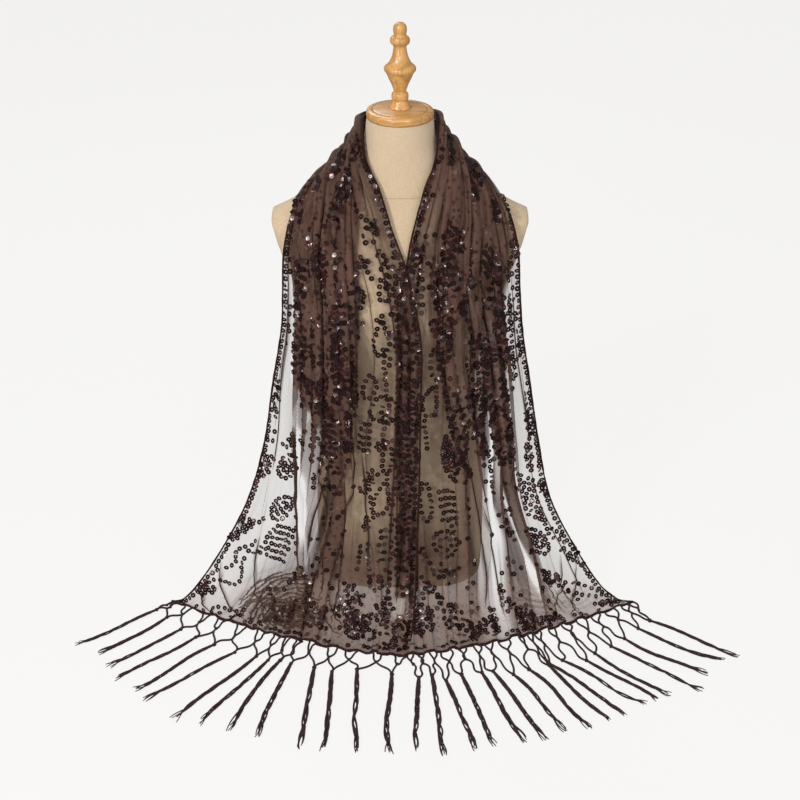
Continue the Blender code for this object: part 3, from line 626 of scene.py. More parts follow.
# Bands where it lies in many more layers, or in fewer where it parts: the side (-1 left),
# how soft the band's edge is (metres), and for each level where it starts and ends and what
# it adds.
gatheredBands = (
    (-1, .007, (.02, .15, .31, .40, .425, .425, .41, .37, .36),
     (.98, .94, .865, .835, .585, .545, .525, .51, .50), (9, 14, 16, 16, 11, 11, 11, 11, 9)),
    (-1, .003, (.60, .60, .60, .60, .57, .515, .50, .50, .50),
     (.60, .60, .60, .60, .72, .665, .597, .50, .50), (0, 0, 0, 0, 1.4, 0.9, 1.1, 0, 0)),
    (-1, .006, (.02, .02, .02, .02, .015, .01, .01, .01, .01),
     (.10, .10, .12, .14, .155, .145, .14, .13, .12), (4, 2, 1.0, 1.4, 1.4, 1.4, 1.4, 2.0, 3)),
    (-1, .003, (.86, .90, .872, .845, .735, .675, .605, .50, .47),
     (.99, .99, .895, .872, .765, .712, .64, .52, .48), (0, 0, -1, -2, -3, -4, -3, 0, 0)),
    (1, .008, (.02, .13, .17, .22, .36, .42, .39, .35, .30),
     (.76, .60, .55, .36, .42, .47, .43, .41, .36), (9, 13, 15, 6, 2.4, 6, 8, 8, 6)),
    (1, .006, (.55, .58, .60, .62, .66, .685, .70, .70, .62),
     (.90, .90, .83, .785, .735, .745, .76, .75, .68), (2, 4.0, 7.0, 10, 12, 12, 8, 6, 5)),
    (1, .006, (.50, .50, .50, .54, .52, .535, .54, .50, .48),
     (.50, .50, .50, .62, .63, .575, .55, .50, .48), (0, 0, 0, 3.5, 4.0, 2.0, 0, 0, 0)),
    (1, .006, (.60, .60, .60, .60, .60, .60, .61, .55, .48),
     (.68, .68, .68, .68, .68, .68, .70, .665, .60), (0, 0, 0, 0, 0, 1.0, 6.0, 8.0, 7)),
    (1, .006, (.02, .02, .02, .02, .02, .02, .02, .02, .02),
     (.10, .10, .10, .12, .13, .13, .13, .12, .12), (4, 2, 1.0, 1.2, 1.2, 1.2, 1.2, 2, 3)),
    (1, .003, (.55, .55, .57, .60, .637, .595, .55, .48, .44),
     (.56, .56, .59, .60, .660, .635, .605, .585, .50), (0, 0, 0, 0, -3.0, -3.0, -2, -1.6, 0)),
    (1, .003, (.70, .70, .70, .70, .70, .672, .677, .685, .62),
     (.70, .70, .70, .70, .70, .685, .702, .70, .62), (0, 0, 0, 0, 0, -2, -6, -4, 0)),
)
# Single thin fold lines: side, places along, reach there, half width (metres), millimetres
# that it stands out and layers that it adds.
foldLines = (
    (-1, (.56, .61, .69, .78, .84), (.78, .768, .718, .648, .600), .0018, 1.5, 9),
    (-1, (.62, .65, .70, .722, .76, .80, .85), (.50, .50, .53, .565, .58, .575, .55), .0022, 2.0, 9),
    (-1, (.66, .70, .735, .77, .83), (.60, .575, .53, .50, .50), .0018, 1.5, 7),
    (-1, (.30, .40, .50, .62, .72), (.30, .285, .30, .33, .30), .0018, 1.5, 3),
    (-1, (.62, .69, .78, .86, .92), (.470, .455, .450, .435, .430), .0018, 1.5, 7),
    (-1, (.60, .69, .78, .90, .97), (.405, .385, .390, .360, .350), .0016, 1.5, 7),
    (-1, (.80, .86, .92, .97), (.84, .80, .73, .60), .0018, 2.0, 6),
    (-1, (.86, .92, .96, 1.0), (.97, .90, .80, .66), .0020, 2.0, 7),
    (-1, (.88, .93, .975, 1.0), (.99, .96, .90, .82), .0020, 2.0, 8),
    (-1, (.22, .34, .46, .60, .66), (.94, .925, .925, .91, .90), .0014, 1.2, 5),
    (-1, (.22, .27, .33, .38), (.60, .62, .64, .65), .0030, 2.5, 8),
    (-1, (.18, .24, .30, .36, .42), (.36, .43, .47, .49, .50), .0026, 2.5, 8),
    (-1, (.26, .32, .38, .45), (.78, .77, .77, .78), .0022, 2.0, 7),
    (-1, (.36, .44, .52, .60), (.405, .41, .425, .445), .0024, 1.5, 8),
    (-1, (.64, .70, .76, .82, .88), (.355, .32, .285, .25, .235), .0020, 1.5, 7),
    (-1, (.30, .40, .52, .66, .80, .94), (.155, .155, .155, .150, .135, .120), .0020, 1.2, 7),
    (1, (.30, .36, .44, .60, .80, .94), (.02, .02, .02, .02, .02, .02), .0016, 1.2, 6),
    (1, (.30, .40, .50, .62), (.92, .90, .91, .93), .0014, 1.2, 5),
    (1, (.22, .28, .34, .40), (.30, .33, .36, .37), .0028, 2.5, 8),
    (1, (.64, .74, .84, .94), (.90, .91, .92, .90), .0013, 1.0, 5),
    (1, (.34, .40, .46, .52, .58), (.42, .50, .53, .50, .47), .0018, 1.5, 6),
    (1, (.64, .72, .80, .88, .94), (.47, .50, .49, .45, .41), .0018, 1.5, 7),
    (1, (.74, .82, .90, .96), (.52, .525, .51, .49), .0016, 1.5, 6),
    (1, (.86, .92, .96, 1.0), (.97, .88, .80, .74), .0018, 2.0, 6),
    (1, (.84, .90, .96, 1.0), (.90, .84, .72, .66), .0016, 1.5, 5),
    (1, (.84, .88, .92, .97), (.735, .750, .758, .740), .0013, 1.0, 4),
    (1, (.87, .91, .95, .985), (.770, .800, .815, .800), .0013, 1.0, 4),
    (1, (.28, .40, .55, .70), (.66, .70, .745, .72), .0018, 1.5, 6),
)
# Puddled ripples near the hems: side, along, reach, half size along and across (metres),
# millimetres, wave length, the point that the arcs run round and layers that it adds.
ripples = (
    (-1, .936, .6, .054, .062, 3.4, .015, (.964, .55), 9),
    (-1, .955, .5, .035, .04, 3, .011, (.9, .55), 12),
    (-1, .945, .33, .04, .04, 3, .015, (.9, .2), 3),
    (1, .95, .68, .045, .045, 3.6, .011, (.99, .5), 2.5),
    (1, .955, .86, .035, .045, 2.6, .012, (.86, .8), 2.5),
    (1, .955, .27, .04, .045, 2.4, .014, (.9, .5), 2.5),
)


def baseSheet(along, reach):
    # inner edge + (outer - inner) * (reach^tuck, reach^bend, reach), its middle swelled forwards
    row = splineWeights(sectionEdges[:, 0], along) @ sectionEdges[:, 1:]
    inner, outer = row[:, None, 0:3], row[:, None, 3:6]
    bend, tuck, swell = (row[:, k:k + 1] for k in (6, 7, 8))
    points = inner + (outer - inner) * np.stack((reach ** tuck, reach ** bend, reach + tuck * 0), -1)
    points[..., 1] -= swell * 4 * reach * (1 - reach)
    return points


def offNape(along):
    # 0 round the nape, 1 on the falls
    end, fade = stole["neckEnd"]
    return smooth((np.abs(along)[:, None] - end) / fade)


def straying(along, reach, waves):
    # a sum of sines: amount * sin(along * a + reach * r + start)
    return sum(amount * np.sin(along * a + reach * r + start) for amount, a, r, start in waves)


def foldCreases(along, reach, length):
    # Each crease is a bell 2b - b^2, where b = cos^2(t pi / 2), times its depth; it leans, and
    # sin(t pi) makes its flanks overhang. Its two edges are narrow bells of their own.
    weights = splineWeights(creaseLevels, along)
    places = weights @ creasePlaces.T
    depths = np.maximum(weights @ creaseDepths.T, 0)
    halfWidths = (weights @ creaseHalfWidths)[:, None] * np.array(creaseSpread)
    out, aside, creased, edged = np.zeros((4, len(along), reach.size))
    edgeAt, edgeWidth = stole["edgeAt"]
    for k, lean in enumerate(creaseLean):
        depth, halfWidth = depths[:, k:k + 1], halfWidths[:, k:k + 1]
        t = np.clip((reach - places[:, k:k + 1]) * length / halfWidth, -1, 1)
        bell = np.cos(t * math.pi / 2) ** 2
        bell = bell * (2 - bell)
        strong = np.minimum(depth / stole["creaseFull"], 1.0)
        out += depth / 1000 * bell
        aside += lean * depth / 1000 * bell
        aside += stole["pinch"] * strong * halfWidth * np.sin(t * math.pi) * 0.9
        creased += strong * bell ** 0.7
        edged += strong * np.exp(-((np.abs(t) - edgeAt) / edgeWidth) ** 2)
    return out, aside, creased, edged


def stackLayers(along, reach, length):
    # how many layers lie on one another, from the tables, and how closely they are pleated
    side = np.sign(along)[:, None]
    weights = splineWeights(bandLevels, np.abs(along))
    layers, pleated = np.zeros((2, len(along), reach.size))
    for which, table in plainLayers.items():
        plain = weights @ table @ splineWeights(plainReach, reach[0]).T
        layers += np.maximum(plain, 0.4) * (side == which)
    layers += 4.0 * (side == 0)
    for which, soft, starts, ends, amounts in gatheredBands:
        start, end, amount = ((weights @ np.array(v))[:, None] for v in (starts, ends, amounts))
        edge = soft / length
        inBand = smooth((reach - start) / edge + 0.5) * smooth((end - reach) / edge + 0.5)
        share = offNape(along) * (side == which)
        layers += amount * inBand * share
        pleated += np.maximum(amount, 0) / 2.4 * inBand * share * (soft > stole["pleatSoft"])
    return np.maximum(layers, stole["leastLayers"]), pleated


def addFoldLines(out, layers, along, reach, length):
    # exp(-(distance / half width)^2) across each line, fading at its two ends
    size = np.abs(along)
    for which, places, reaches, halfWidth, depth, amount in foldLines:
        line = np.interp(size, places, reaches)[:, None]
        ends = smooth((size - places[0]) / 0.05) * smooth((places[-1] - size) / 0.04)
        ends *= np.sign(along) == which
        bell = np.exp(-((reach - line) * length / halfWidth) ** 2) * ends[:, None]
        out += depth / 1000 * bell
        layers += amount * bell


def addPleats(out, pleated, along, reach):
    # soft waves everywhere and fine pleats where it is gathered: 0.5 + 0.5 sin, straying both ways
    nape, along = 1 - offNape(along), along[:, None]
    drift, bunched = (straying(along, reach, stole[key]) for key in ("pleatDrift", "pleatBunch"))
    pleat = np.sin(math.tau * stole["pleats"] * (reach + drift + bunched))
    unevenly = 0.25 + 0.75 * np.sin(reach * 19.0 + along * 6.0 + 2.0 * np.sin(reach * 8.0)) ** 2
    pleated = (pleated + stole["neckPleats"] * nape) * (unevenly + (1 - unevenly) * nape)
    drift, bunched = (straying(along, reach, stole[key]) for key in ("waveDrift", "waveBunch"))
    wave = np.sin(math.tau * stole["waves"] * (reach + drift + bunched))
    fade = smooth(reach / stole["edgeFade"]), smooth((1 - reach) / stole["edgeFade"])
    out += stole["waveHeight"] * (0.5 + 0.5 * wave) * fade[0] * fade[1]
    out += stole["pleatHeight"] * (1 + 0.6 * nape) * np.minimum(pleated / 4.0, 1.0) * (0.5 + 0.5 * pleat) ** 0.6


def addRipples(out, layers, along, reach, length):
    # sine rings round a point, inside an oval window exp(-r^3)
    along = along[:, None]
    for which, at, middle, highAlong, highAcross, depth, pitch, (roundAlong, roundReach), amount in ripples:
        offAlong, offAcross = along * which - at, (reach - middle) * length
        window = np.exp(-((offAlong / highAlong) ** 2 + (offAcross / highAcross) ** 2) ** 1.5)
        away = np.hypot(along * which - roundAlong, (reach - roundReach) * length)
        lift = 0.5 + 0.5 * np.sin(math.tau * away / pitch + 1.3 * np.sin(offAcross / 0.021))
        out += depth / 1000 * lift * window
        layers += amount * window * (0.35 + 0.65 * lift ** 2) * (np.sign(along) == which)


def findCrests(out):
    # how far it stands out from the mean of what lies within a centimetre, as a share of the crest
    window = stole["crestWindow"]
    gone = np.cumsum(np.pad(out, ((0, 0), (window + 1, window)), "edge"), 1)
    mean = (gone[:, 2 * window + 1:] - gone[:, :-2 * window - 1]) / (2 * window + 1)
    return np.clip((out - mean) / stole["crest"], -1, 1)


def hangStole():
    # The gathered sheet, plus along its normal the creases, fold lines, pleats and ripples, and
    # sideways what makes the flanks overhang; then laid out again at even steps of flat cloth.
    fall = np.linspace(stole["shoulder"], stole["hem"], stole["fallRows"] + 1)
    neck = np.linspace(-stole["shoulder"], stole["shoulder"], stole["neckRows"] + 1)
    along = np.concatenate((-fall[:0:-1], neck, fall[1:]))
    reach = np.linspace(0, 1, stole["fineColumns"])[None, :]
    base = baseSheet(along, reach)
    side = unit(np.gradient(base, axis=1))
    normal = unit(np.cross(unit(np.gradient(base, axis=0)), side))
    length = np.linalg.norm(np.diff(base, axis=1), axis=-1).sum(1)[:, None]
    out, aside, creased, edged = foldCreases(along, reach, length)
    layers, pleated = stackLayers(along, reach, length)
    dense = np.clip(layers / 6, 0.05, 1)
    layers *= 0.75 + stole["creaseLayers"] * np.minimum(creased, 1.2)
    layers += stole["edgeLayers"] * edged * dense
    addFoldLines(out, layers, along, reach, length)
    layers += stole["neckLayers"] * (1 - offNape(along))
    addPleats(out, pleated, along, reach)
    addRipples(out, layers, along, reach, length)

    points = base + normal * out[..., None] + side * aside[..., None]
    steps = np.linalg.norm(np.diff(points, axis=1), axis=-1)
    steps *= ((layers[:, 1:] + layers[:, :-1]) / 2) ** stole["fullness"]
    flat = np.concatenate((np.zeros((len(along), 1)), np.cumsum(steps, 1)), 1)
    flat /= flat[:, -1:]
    even = np.linspace(0, 1, stole["columns"] + 1)
    offset = np.arange(len(along))[:, None] * 2.0

    def relaid(values):
        # every row at once, each set off by 2 from the one before
        found = np.interp((offset + even).ravel(), (offset + flat).ravel(), values.ravel())
        return found.reshape(len(along), -1)

    points, outwards = (np.stack([relaid(v[..., k]) for k in range(3)], -1) for v in (points, normal))
    outwards = unit(outwards)
    size = np.abs(along)[:, None]
    layers = relaid(layers) + stole["hemLayers"] * smooth((size - stole["hem"]) / stole["hemTurn"] + 1)
    points = clearOfForm(points, stole["air"])
    points[..., 2] = np.maximum(points[..., 2], stole["floorAir"])
    normals = unit(np.cross(unit(np.gradient(points, axis=0)), unit(np.gradient(points, axis=1))))
    lean = np.abs((normals * outwards).sum(-1))
    layers = layers / np.clip(lean, 0.4, 1.0)
    (labelAlong, labelAcross), (gapAlong, gapAcross) = stole["labelAt"], stole["labelGap"]
    off = (along[:, None] - labelAlong) / gapAlong, (even - labelAcross) * stole["width"] / gapAcross
    layers *= 1 - 0.75 * np.exp(-off[0] ** 4 - off[1] ** 4)
    # the crest mark gives the net painted shade in the valleys and painted light on the crests and on the flat
    # net near the hem
    start, fade = stole["flatFrom"]
    crest = np.clip(relaid(findCrests(out)) + stole["flatPaintedLight"] * smooth((size - start) / fade), -1, 2)
    return {"along": along, "across": even, "points": points, "normals": normals, "outwards": outwards,
            "layers": layers, "crest": crest, "flat": flat, "length": length[:, 0]}


cloth = hangStole()
print("the stole hangs:", cloth["points"].shape)


def onCloth(along, across):
    # points and normals of the hung cloth at places in the flat cloth, by weighing four neighbours
    row = np.interp(along, cloth["along"], np.arange(len(cloth["along"])))
    column = np.clip(across, 0, 1) * stole["columns"]
    r = np.minimum(row.astype(int), len(cloth["along"]) - 2)
    c = np.minimum(column.astype(int), stole["columns"] - 1)
    fr, fc = (row - r)[:, None], (column - c)[:, None]
    points, normals, outwards = (
        g[r, c] * (1 - fr) * (1 - fc) + g[r + 1, c] * fr * (1 - fc) + g[r, c + 1] * (1 - fr) * fc
        + g[r + 1, c + 1] * fr * fc for g in (cloth["points"], cloth["normals"], cloth["outwards"]))
    return points, unit(normals), unit(outwards)


def rowOf(along):
    return np.clip(np.searchsorted(cloth["along"], along), 0, len(cloth["along"]) - 1)


def acrossAt(along, reach):
    # where in the flat cloth a place given by its reach lies
    column = np.clip(reach, 0, 1) * (stole["fineColumns"] - 1)
    return cloth["flat"][rowOf(along), np.round(column).astype(int)]


def lengthAt(along):
    # metres from the inner to the outer edge as it hangs
    return np.interp(along, cloth["along"], cloth["length"])


net = {
    "alpha": 0.165, "mesh": 0.0013,      # how much one layer covers, and the size of its holes
    # the valley colour is painted shade for the fold valleys, the crest and hem colours painted light for the
    # crests and for the flat net near the hem
    "dark": (0.040, 0.0180, 0.0130), "light": (0.105, 0.055, 0.040), "valleyShade": (0.014, 0.0055, 0.0045),
    "crest": (0.120, 0.066, 0.048), "shadow": 0.62, "hem": (0.168, 0.106, 0.084),
    # the glint colour is painted glints, pale spots for light caught by sequins under the net
    "under": 0.0072, "spot": (0.010, 0.004, 0.004), "paintedGlint": (0.170, 0.110, 0.100),
}


def makeNet():
    material, tree, shader = startMaterial("sequinNet")
    layers, crest = readMark(tree, "layers"), readMark(tree, "crest")
    # hexagon-like holes: distance to the nearest thread of a slightly uneven mesh
    holes = {"Vector": clothPlace(tree), "Scale": 1 / net["mesh"], "Randomness": 0.55}
    mesh = addNode(tree, "TexVoronoi", holes, feature="DISTANCE_TO_EDGE", voronoi_dimensions="2D")
    thread = remap(tree, mesh.outputs["Distance"], 0.05, 0.22, 1.0, 0.0)
    one = remap(tree, thread, 0.0, 1.0, net["alpha"] - 0.05, net["alpha"] + 0.10)
    clear = mathNode(tree, "POWER", minus(tree, 1.0, one), layers)
    # light gets through it more easily than the eye, because it comes in at many angles
    inShadow = times(tree, tree.nodes.new("ShaderNodeLightPath").outputs["Is Shadow Ray"], net["shadow"])
    cover = mathNode(tree, "MULTIPLY", minus(tree, 1.0, clear), minus(tree, 1.0, inShadow), clamp=True)
    mottle = mottled(tree, 0.03, 0.003)
    tone = plus(tree, remap(tree, mottle["Slow"], 0.3, 0.7, 0.0, 0.6), times(tree, thread, 0.3))
    colour = mixColour(tree, tone, net["dark"], net["light"])
    # painted shade darkens the valleys, painted light makes the crests paler and the flat net near the hem
    # palest
    for key, *span in (("valleyShade", -0.8, -0.05, 0.85, 0.0), ("crest", 0.1, 0.9, 0.0, 0.35),
                       ("hem", 1.0, 2.0, 0.0, 1.0)):
        colour = mixColour(tree, remap(tree, crest, *span), colour, net[key])
    # sequins on the layers beneath show as dim spots where it is gathered, and a few as painted glints: pale
    # spots for light that they catch
    cells = addNode(tree, "TexVoronoi", {"Vector": objectPlace(tree), "Scale": 1 / net["under"]}).outputs
    draw = addNode(tree, "SeparateXYZ", {0: cells["Color"]}).outputs
    ragged = plus(tree, cells["Distance"], remap(tree, mottle["Quick"], 0.3, 0.7, -0.20, 0.20))
    spot = times(tree, remap(tree, ragged, 0.26, 0.48, 1.0, 0.0), remap(tree, layers, 5.0, 10.0, 0.0, 1.0))
    for key, *span in (("spot", draw[0], 0.20, 0.80, 0.0, 0.75), ("paintedGlint", draw[1], 0.94, 0.96, 0.0, 0.6)):
        colour = mixColour(tree, times(tree, spot, remap(tree, *span)), colour, net[key])
    height = plus(tree, thread, times(tree, mottle["Quick"], 0.8))
    feed(tree, shader, {"Base Color": colour, "Alpha": cover, "Normal": bumpFrom(tree, height, 0.0003, 0.5),
                        "Roughness": remap(tree, mottle["Quick"], 0.3, 0.7, 0.55, 0.75),
                        "Specular IOR Level": 0.10, "Sheen Weight": 0.03, "Sheen Roughness": 0.45})
    return material


def makeStole():
    material = makeNet()
    fall, neck = stole["fallRows"], stole["neckRows"]
    spans = {"netLeftFall": (0, fall, "stole_left_fall"),
             "netNeckStretch": (fall, fall + neck, "stole_neck_stretch"),
             "netRightFall": (fall + neck, 2 * fall + neck, "stole_right_fall")}
    across, along = cloth["across"] * stole["width"], cloth["along"][:, None] + 1.1
    uv = np.stack(np.broadcast_arrays(across, along), -1)
    pieces = []
    for name, (first, last, node) in spans.items():
        rows = slice(first, last + 1)
        quads = gridQuads(last + 1 - first, len(across))[:, ::-1]
        marks = {"layers": cloth["layers"][rows], "crest": cloth["crest"][rows]}
        item = makePiece(name, cloth["points"][rows], quads, material, node, uv=uv[rows], marks=marks)
        item.data.normals_split_custom_set_from_vertices(cloth["normals"][rows].reshape(-1, 3))
        pieces.append(item)
    return pieces


netPieces = makeStole()


foldEdge = {
    # the roll tone is painted shade that darkens the fold rolls, the ripple tone a faint painted highlight on
    # the ripple rolls; both go into the net's crest mark
    "radius": 0.00120, "sides": 6, "steps": 90, "layers": 9.0, "tone": -0.55, "up": (0.25, 0.91, 0.31),
    "rippleRadius": 0.0025, "rippleSteps": 110, "rippleLayers": 5.0, "ripplePaintedLight": 0.15,
    "rippleLeast": 2.8,          # a ripple that adds fewer layers has no rolls
    "arcs": (0.012, 0.150), "arcStep": 0.0072, "arcPoints": 241, "beadPitch": 0.0070,
}


def foldRoll(which, places, reaches, amount):
    # a thin roll along one fold line, thinner towards its ends
    line = np.linspace(places[0] + 0.008, min(places[-1], stole["hem"] - stole["margin"]), foldEdge["steps"])
    reach = splineWeights(places, line) @ np.array(reaches)
    path = onCloth(line * which, acrossAt(line * which, reach))[0]
    path[:, 1] -= foldEdge["radius"] * 0.6
    share = smooth((line - line[0]) / 0.05) * smooth((line[-1] - line) / 0.03)
    radii = foldEdge["radius"] * min(amount / 7, 1.3) * (0.25 + 0.75 * share)
    return path, radii, foldEdge["layers"], foldEdge["tone"]


def rippleRolls(which, at, middle, highAlong, highAcross, roundAlong, roundReach, amount):
    # beaded arcs round a ripple's own point, wherever they cross its patch
    count, length = foldEdge["arcPoints"], lengthAt(at * which)
    turn = np.linspace(-math.pi, math.pi, count)
    for radius in np.arange(*foldEdge["arcs"], foldEdge["arcStep"] * (1.0 if amount > 4 else 2.2)):
        bent = radius + 0.0022 * np.sin(turn * 5 + radius * 90) + 0.0012 * np.sin(turn * 11 + radius * 300)
        line = roundAlong + bent * np.cos(turn)
        reach = roundReach + bent * np.sin(turn) / length
        near = ((line - at) / highAlong) ** 2 + ((reach - middle) * length / highAcross) ** 2 < 1.2
        near &= (line < stole["hem"] - stole["margin"]) & (reach > 0.01) & (reach < 0.99)
        near = np.flatnonzero(near)
        for run in np.split(near, np.flatnonzero(np.diff(near) > 1) + 1):
            if len(run) * radius < 0.5:
                continue
            take = np.linspace(run[0], run[-1], foldEdge["rippleSteps"])
            along = np.interp(take, np.arange(count), line) * which
            across = acrossAt(along, np.interp(take, np.arange(count), reach))
            beads = np.abs(np.sin(take * (turn[1] - turn[0]) * radius * math.pi / foldEdge["beadPitch"]))
            ends = 0.5 + 0.5 * np.sin(np.linspace(0.1, math.pi - 0.1, len(take)))
            path = onCloth(along, across)[0] + (0, -0.0006, 0.0012)
            radii = foldEdge["rippleRadius"] * min(0.3 + amount / 12, 1.0) * (0.35 + 0.65 * beads) * ends
            yield path, radii, foldEdge["rippleLayers"], foldEdge["ripplePaintedLight"]


def makeFoldEdges():
    # where the net doubles over in a sharp fold, and on the ripples' crests
    rolls = [foldRoll(which, places, reaches, amount) for which, places, reaches, _, _, amount in foldLines]
    for *patch, _, _, centre, amount in ripples:
        if amount >= foldEdge["rippleLeast"]:
            rolls += rippleRolls(*patch, *centre, amount)
    paths, radii, layers, paintedTones = zip(*rolls)
    parts = [sweepTubes(p[None], r[None], foldEdge["sides"], foldEdge["up"]) for p, r in zip(paths, radii)]
    points, quads, uv = joinParts(parts)
    counts = [len(part[0]) for part in parts]
    # the crest mark gives the fold rolls painted shade and the ripple rolls a faint painted highlight
    marks = {"layers": np.repeat(layers, counts), "crest": np.repeat(paintedTones, counts)}
    return makePiece("foldEdges", points, quads, netPieces[0].data.materials[0], uv=uv, marks=marks)


foldEdges = makeFoldEdges()


edging = {
    "radius": 0.00160, "hemRadius": 0.0022, "sides": 6, "up": (0.25, 0.31, 0.92),
    "twist": 0.0022, "colour": (0.016, 0.0065, 0.006), "light": (0.050, 0.020, 0.018),
}


def makeThread(name, dark, light, twist, roughness, shine=0.2, fuzz=0.1):
    # yarn: slanting plies round the thread, sin(2 turns + length / twist), from the sweep's own map
    material, tree, shader = startMaterial(name)
    parts = addNode(tree, "SeparateXYZ", {0: clothPlace(tree)}).outputs
    phase = plus(tree, times(tree, parts[0], math.tau * 2), times(tree, parts[1], math.tau / twist))
    ply = mathNode(tree, "SINE", phase)
    mottle = mottled(tree, 0.02, 0.0012)
    tone = plus(tree, remap(tree, ply, -1.0, 1.0, 0.0, 0.45), remap(tree, mottle["Quick"], 0.3, 0.7, 0.0, 0.45))
    rough = remap(tree, mottle["Slow"], 0.3, 0.7, roughness - 0.06, roughness + 0.06)
    feed(tree, shader, {"Base Color": mixColour(tree, tone, dark, light), "Roughness": rough,
                        "Normal": bumpFrom(tree, plus(tree, ply, mottle["Quick"]), 0.0003, 0.8),
                        "Specular IOR Level": shine, "Sheen Weight": fuzz})
    return material


def makeEdging():
    # a thread whose thickness varies a little, along both long edges and both hems
    material = makeThread("edgeThread", edging["colour"], edging["light"], edging["twist"], 0.6, 0.05, 0.0)
    points = cloth["points"]
    parts = []
    for path, radius in ((points[:, 0], edging["radius"]), (points[:, -1], edging["radius"]),
                         (points[0], edging["hemRadius"]), (points[-1], edging["hemRadius"])):
        wobble = np.random.default_rng(3).normal(0, 0.3, len(path))
        path = np.stack((path[:, 0], path[:, 1], np.maximum(path[:, 2], radius * 0.9)), -1)
        radii = radius * (1 + np.convolve(wobble, np.ones(5) / 5, "same"))
        parts.append(sweepTubes(path[None], radii[None], edging["sides"], edging["up"]))
    meshPoints, quads, uv = joinParts(parts)
    return makePiece("rolledEdges", meshPoints, quads, material, uv=uv)


rolledEdges = makeEdging()
print("net, fold edges and rolled edges are made")


ways = {"left": -1, "right": 1}        # which way each fall runs along the stole

sequin = {
    "radius": 0.0045, "sides": 9, "pitch": 0.0086, "loose": 0.0103,
    "rings": (1.0, 0.60, 0.19), "cup": (0.00014, 0.00002, 0.0),
    "lift": 0.0010, "least": 0.0022, "tilt": 16.0,       # metres off the net and off the floor, degrees
    "seed": {"left": 21, "right": 34},
    "dash": (0.0078, 0.0125),    # metres between the sequins of a dash and between dashes
    "edgeRows": ((1, 0.0075, 0.17, 1.0, 0.0), (0, 0.0070, 0.17, 0.85, 0.0005), (1, 0.0185, 0.24, 0.45, 0.0012)),
    "middleRows": {"left": 6, "right": 3}, "middlePitch": 0.0068,
    "fieldStep": (0.046, 0.050), "fieldSize": (0.032, 0.046), "gathered": 8.5,
    "fieldKinds": ("paisley", "fern", "dashes", "rosette", "drop", "dashes"),
    "fieldShare": ((0.17, 0.28, 0.36, 0.42), (0.40, 0.38, 0.75, 1.0)),       # how many motifs, by place along
    "fieldKept": ((0.16, 0.62, 0.68), (0.95, 1.0, 0.12)),                    # how many of their sequins
    "nearest": 0.0052, "stray": (0.0005, 0.001), "offLabel": (0.018, 0.030),
    "dark": (0.0060, 0.0026, 0.0024), "red": (0.045, 0.011, 0.012), "mauve": (0.056, 0.030, 0.032),
}


def evenly(path, pitch):
    # points at even steps along a line of points
    gone = np.concatenate(((0,), np.cumsum(np.linalg.norm(np.diff(path, axis=0), axis=1))))
    at = np.linspace(0, gone[-1], max(2, round(gone[-1] / pitch) + 1))
    return np.stack([np.interp(at, gone, path[:, k]) for k in range(2)], -1)


def oval(wide, high, pitch):
    # one ring of sequins: (wide / 2 * sin t, high / 2 * cos t)
    t = np.linspace(0, math.tau, 61)
    return evenly(np.stack((wide / 2 * np.sin(t), high / 2 * np.cos(t)), -1), pitch)[:-1]


def rosette(wide, high):
    # ovals one inside another round a middle one
    rings = max(1, round(min(wide, high) / 2 / sequin["pitch"]))
    ovals = [oval(wide * k / rings, high * k / rings, sequin["pitch"]) for k in range(1, rings + 1)]
    return np.concatenate([np.zeros((1, 2))] + ovals)


def loop(wide, high):
    return oval(wide, high, sequin["loose"])


def cluster(wide, high):
    # staggered rows that fill an oval
    step = sequin["pitch"] * 0.92
    i, j = np.meshgrid(np.arange(-8, 9), np.arange(-12, 13))
    x, y = (i + 0.5 * (j % 2)) * step, j * step * 0.87
    inside = (x / (wide / 2 + 0.002)) ** 2 + (y / (high / 2 + 0.002)) ** 2 < 1
    return np.stack((x[inside], y[inside]), -1)


def dashes(wide, high):
    # short rows, one below another
    stepX, stepY = sequin["dash"]
    i, j = np.meshgrid(np.arange(max(2, round(wide / stepX))), np.arange(max(1, round(high / stepY))))
    x, y = (i - i.max() / 2) * stepX + (j % 2) * 0.002, (j - j.max() / 2) * stepY
    return np.stack((x, y), -1).reshape(-1, 2)


def fern(wide, high):
    # a close stem with slanting leaves on both sides
    stem = np.arange(0, high, sequin["pitch"]) - high / 2
    parts = [np.stack((0.0016 * np.cos(stem * 900), stem), -1)]
    leaf = np.arange(1, 1 + max(1, round(wide / 2 / sequin["pitch"]))) * sequin["pitch"]
    for at in np.arange(0, high - 0.006, 0.0140):
        for way in (-1, 1):
            parts.append(np.stack((leaf * way * 0.85, at - high / 2 + 0.005 * (way > 0) - leaf * 0.5), -1))
    return np.concatenate(parts)


def dropLine(wide, high):
    # a teardrop: width by sin t * sin(t / 2), height by cos t, its tip curled over
    t = np.linspace(0, math.tau, 80)
    curl = np.clip(np.cos(t) * 0.5 + 0.1, 0, 1)
    x = wide * 0.55 * np.sin(t) * np.sin(t / 2) ** 1.1 + wide * 0.7 * curl ** 2
    return np.stack((x, -high * 0.5 * np.cos(t)), -1)


def drop(wide, high):
    return evenly(dropLine(wide, high), sequin["loose"] * 0.85)


def paisley(wide, high):
    line = dropLine(wide, high)
    return np.concatenate([evenly(line * share, sequin["pitch"] * 0.92) for share in (1.0, 0.66, 0.33)])


def arcs(wide, high):
    # half rings one inside another, open below
    t = np.linspace(-1.9, 1.9, 40)
    ring = np.stack((wide / 2 * np.sin(t), -high / 2 * np.cos(t)), -1)
    shares = np.arange(1.0, 0.15, -sequin["pitch"] * 1.9 / max(wide, high))
    return np.concatenate([evenly(ring * share, sequin["pitch"] * 0.95) for share in shares])


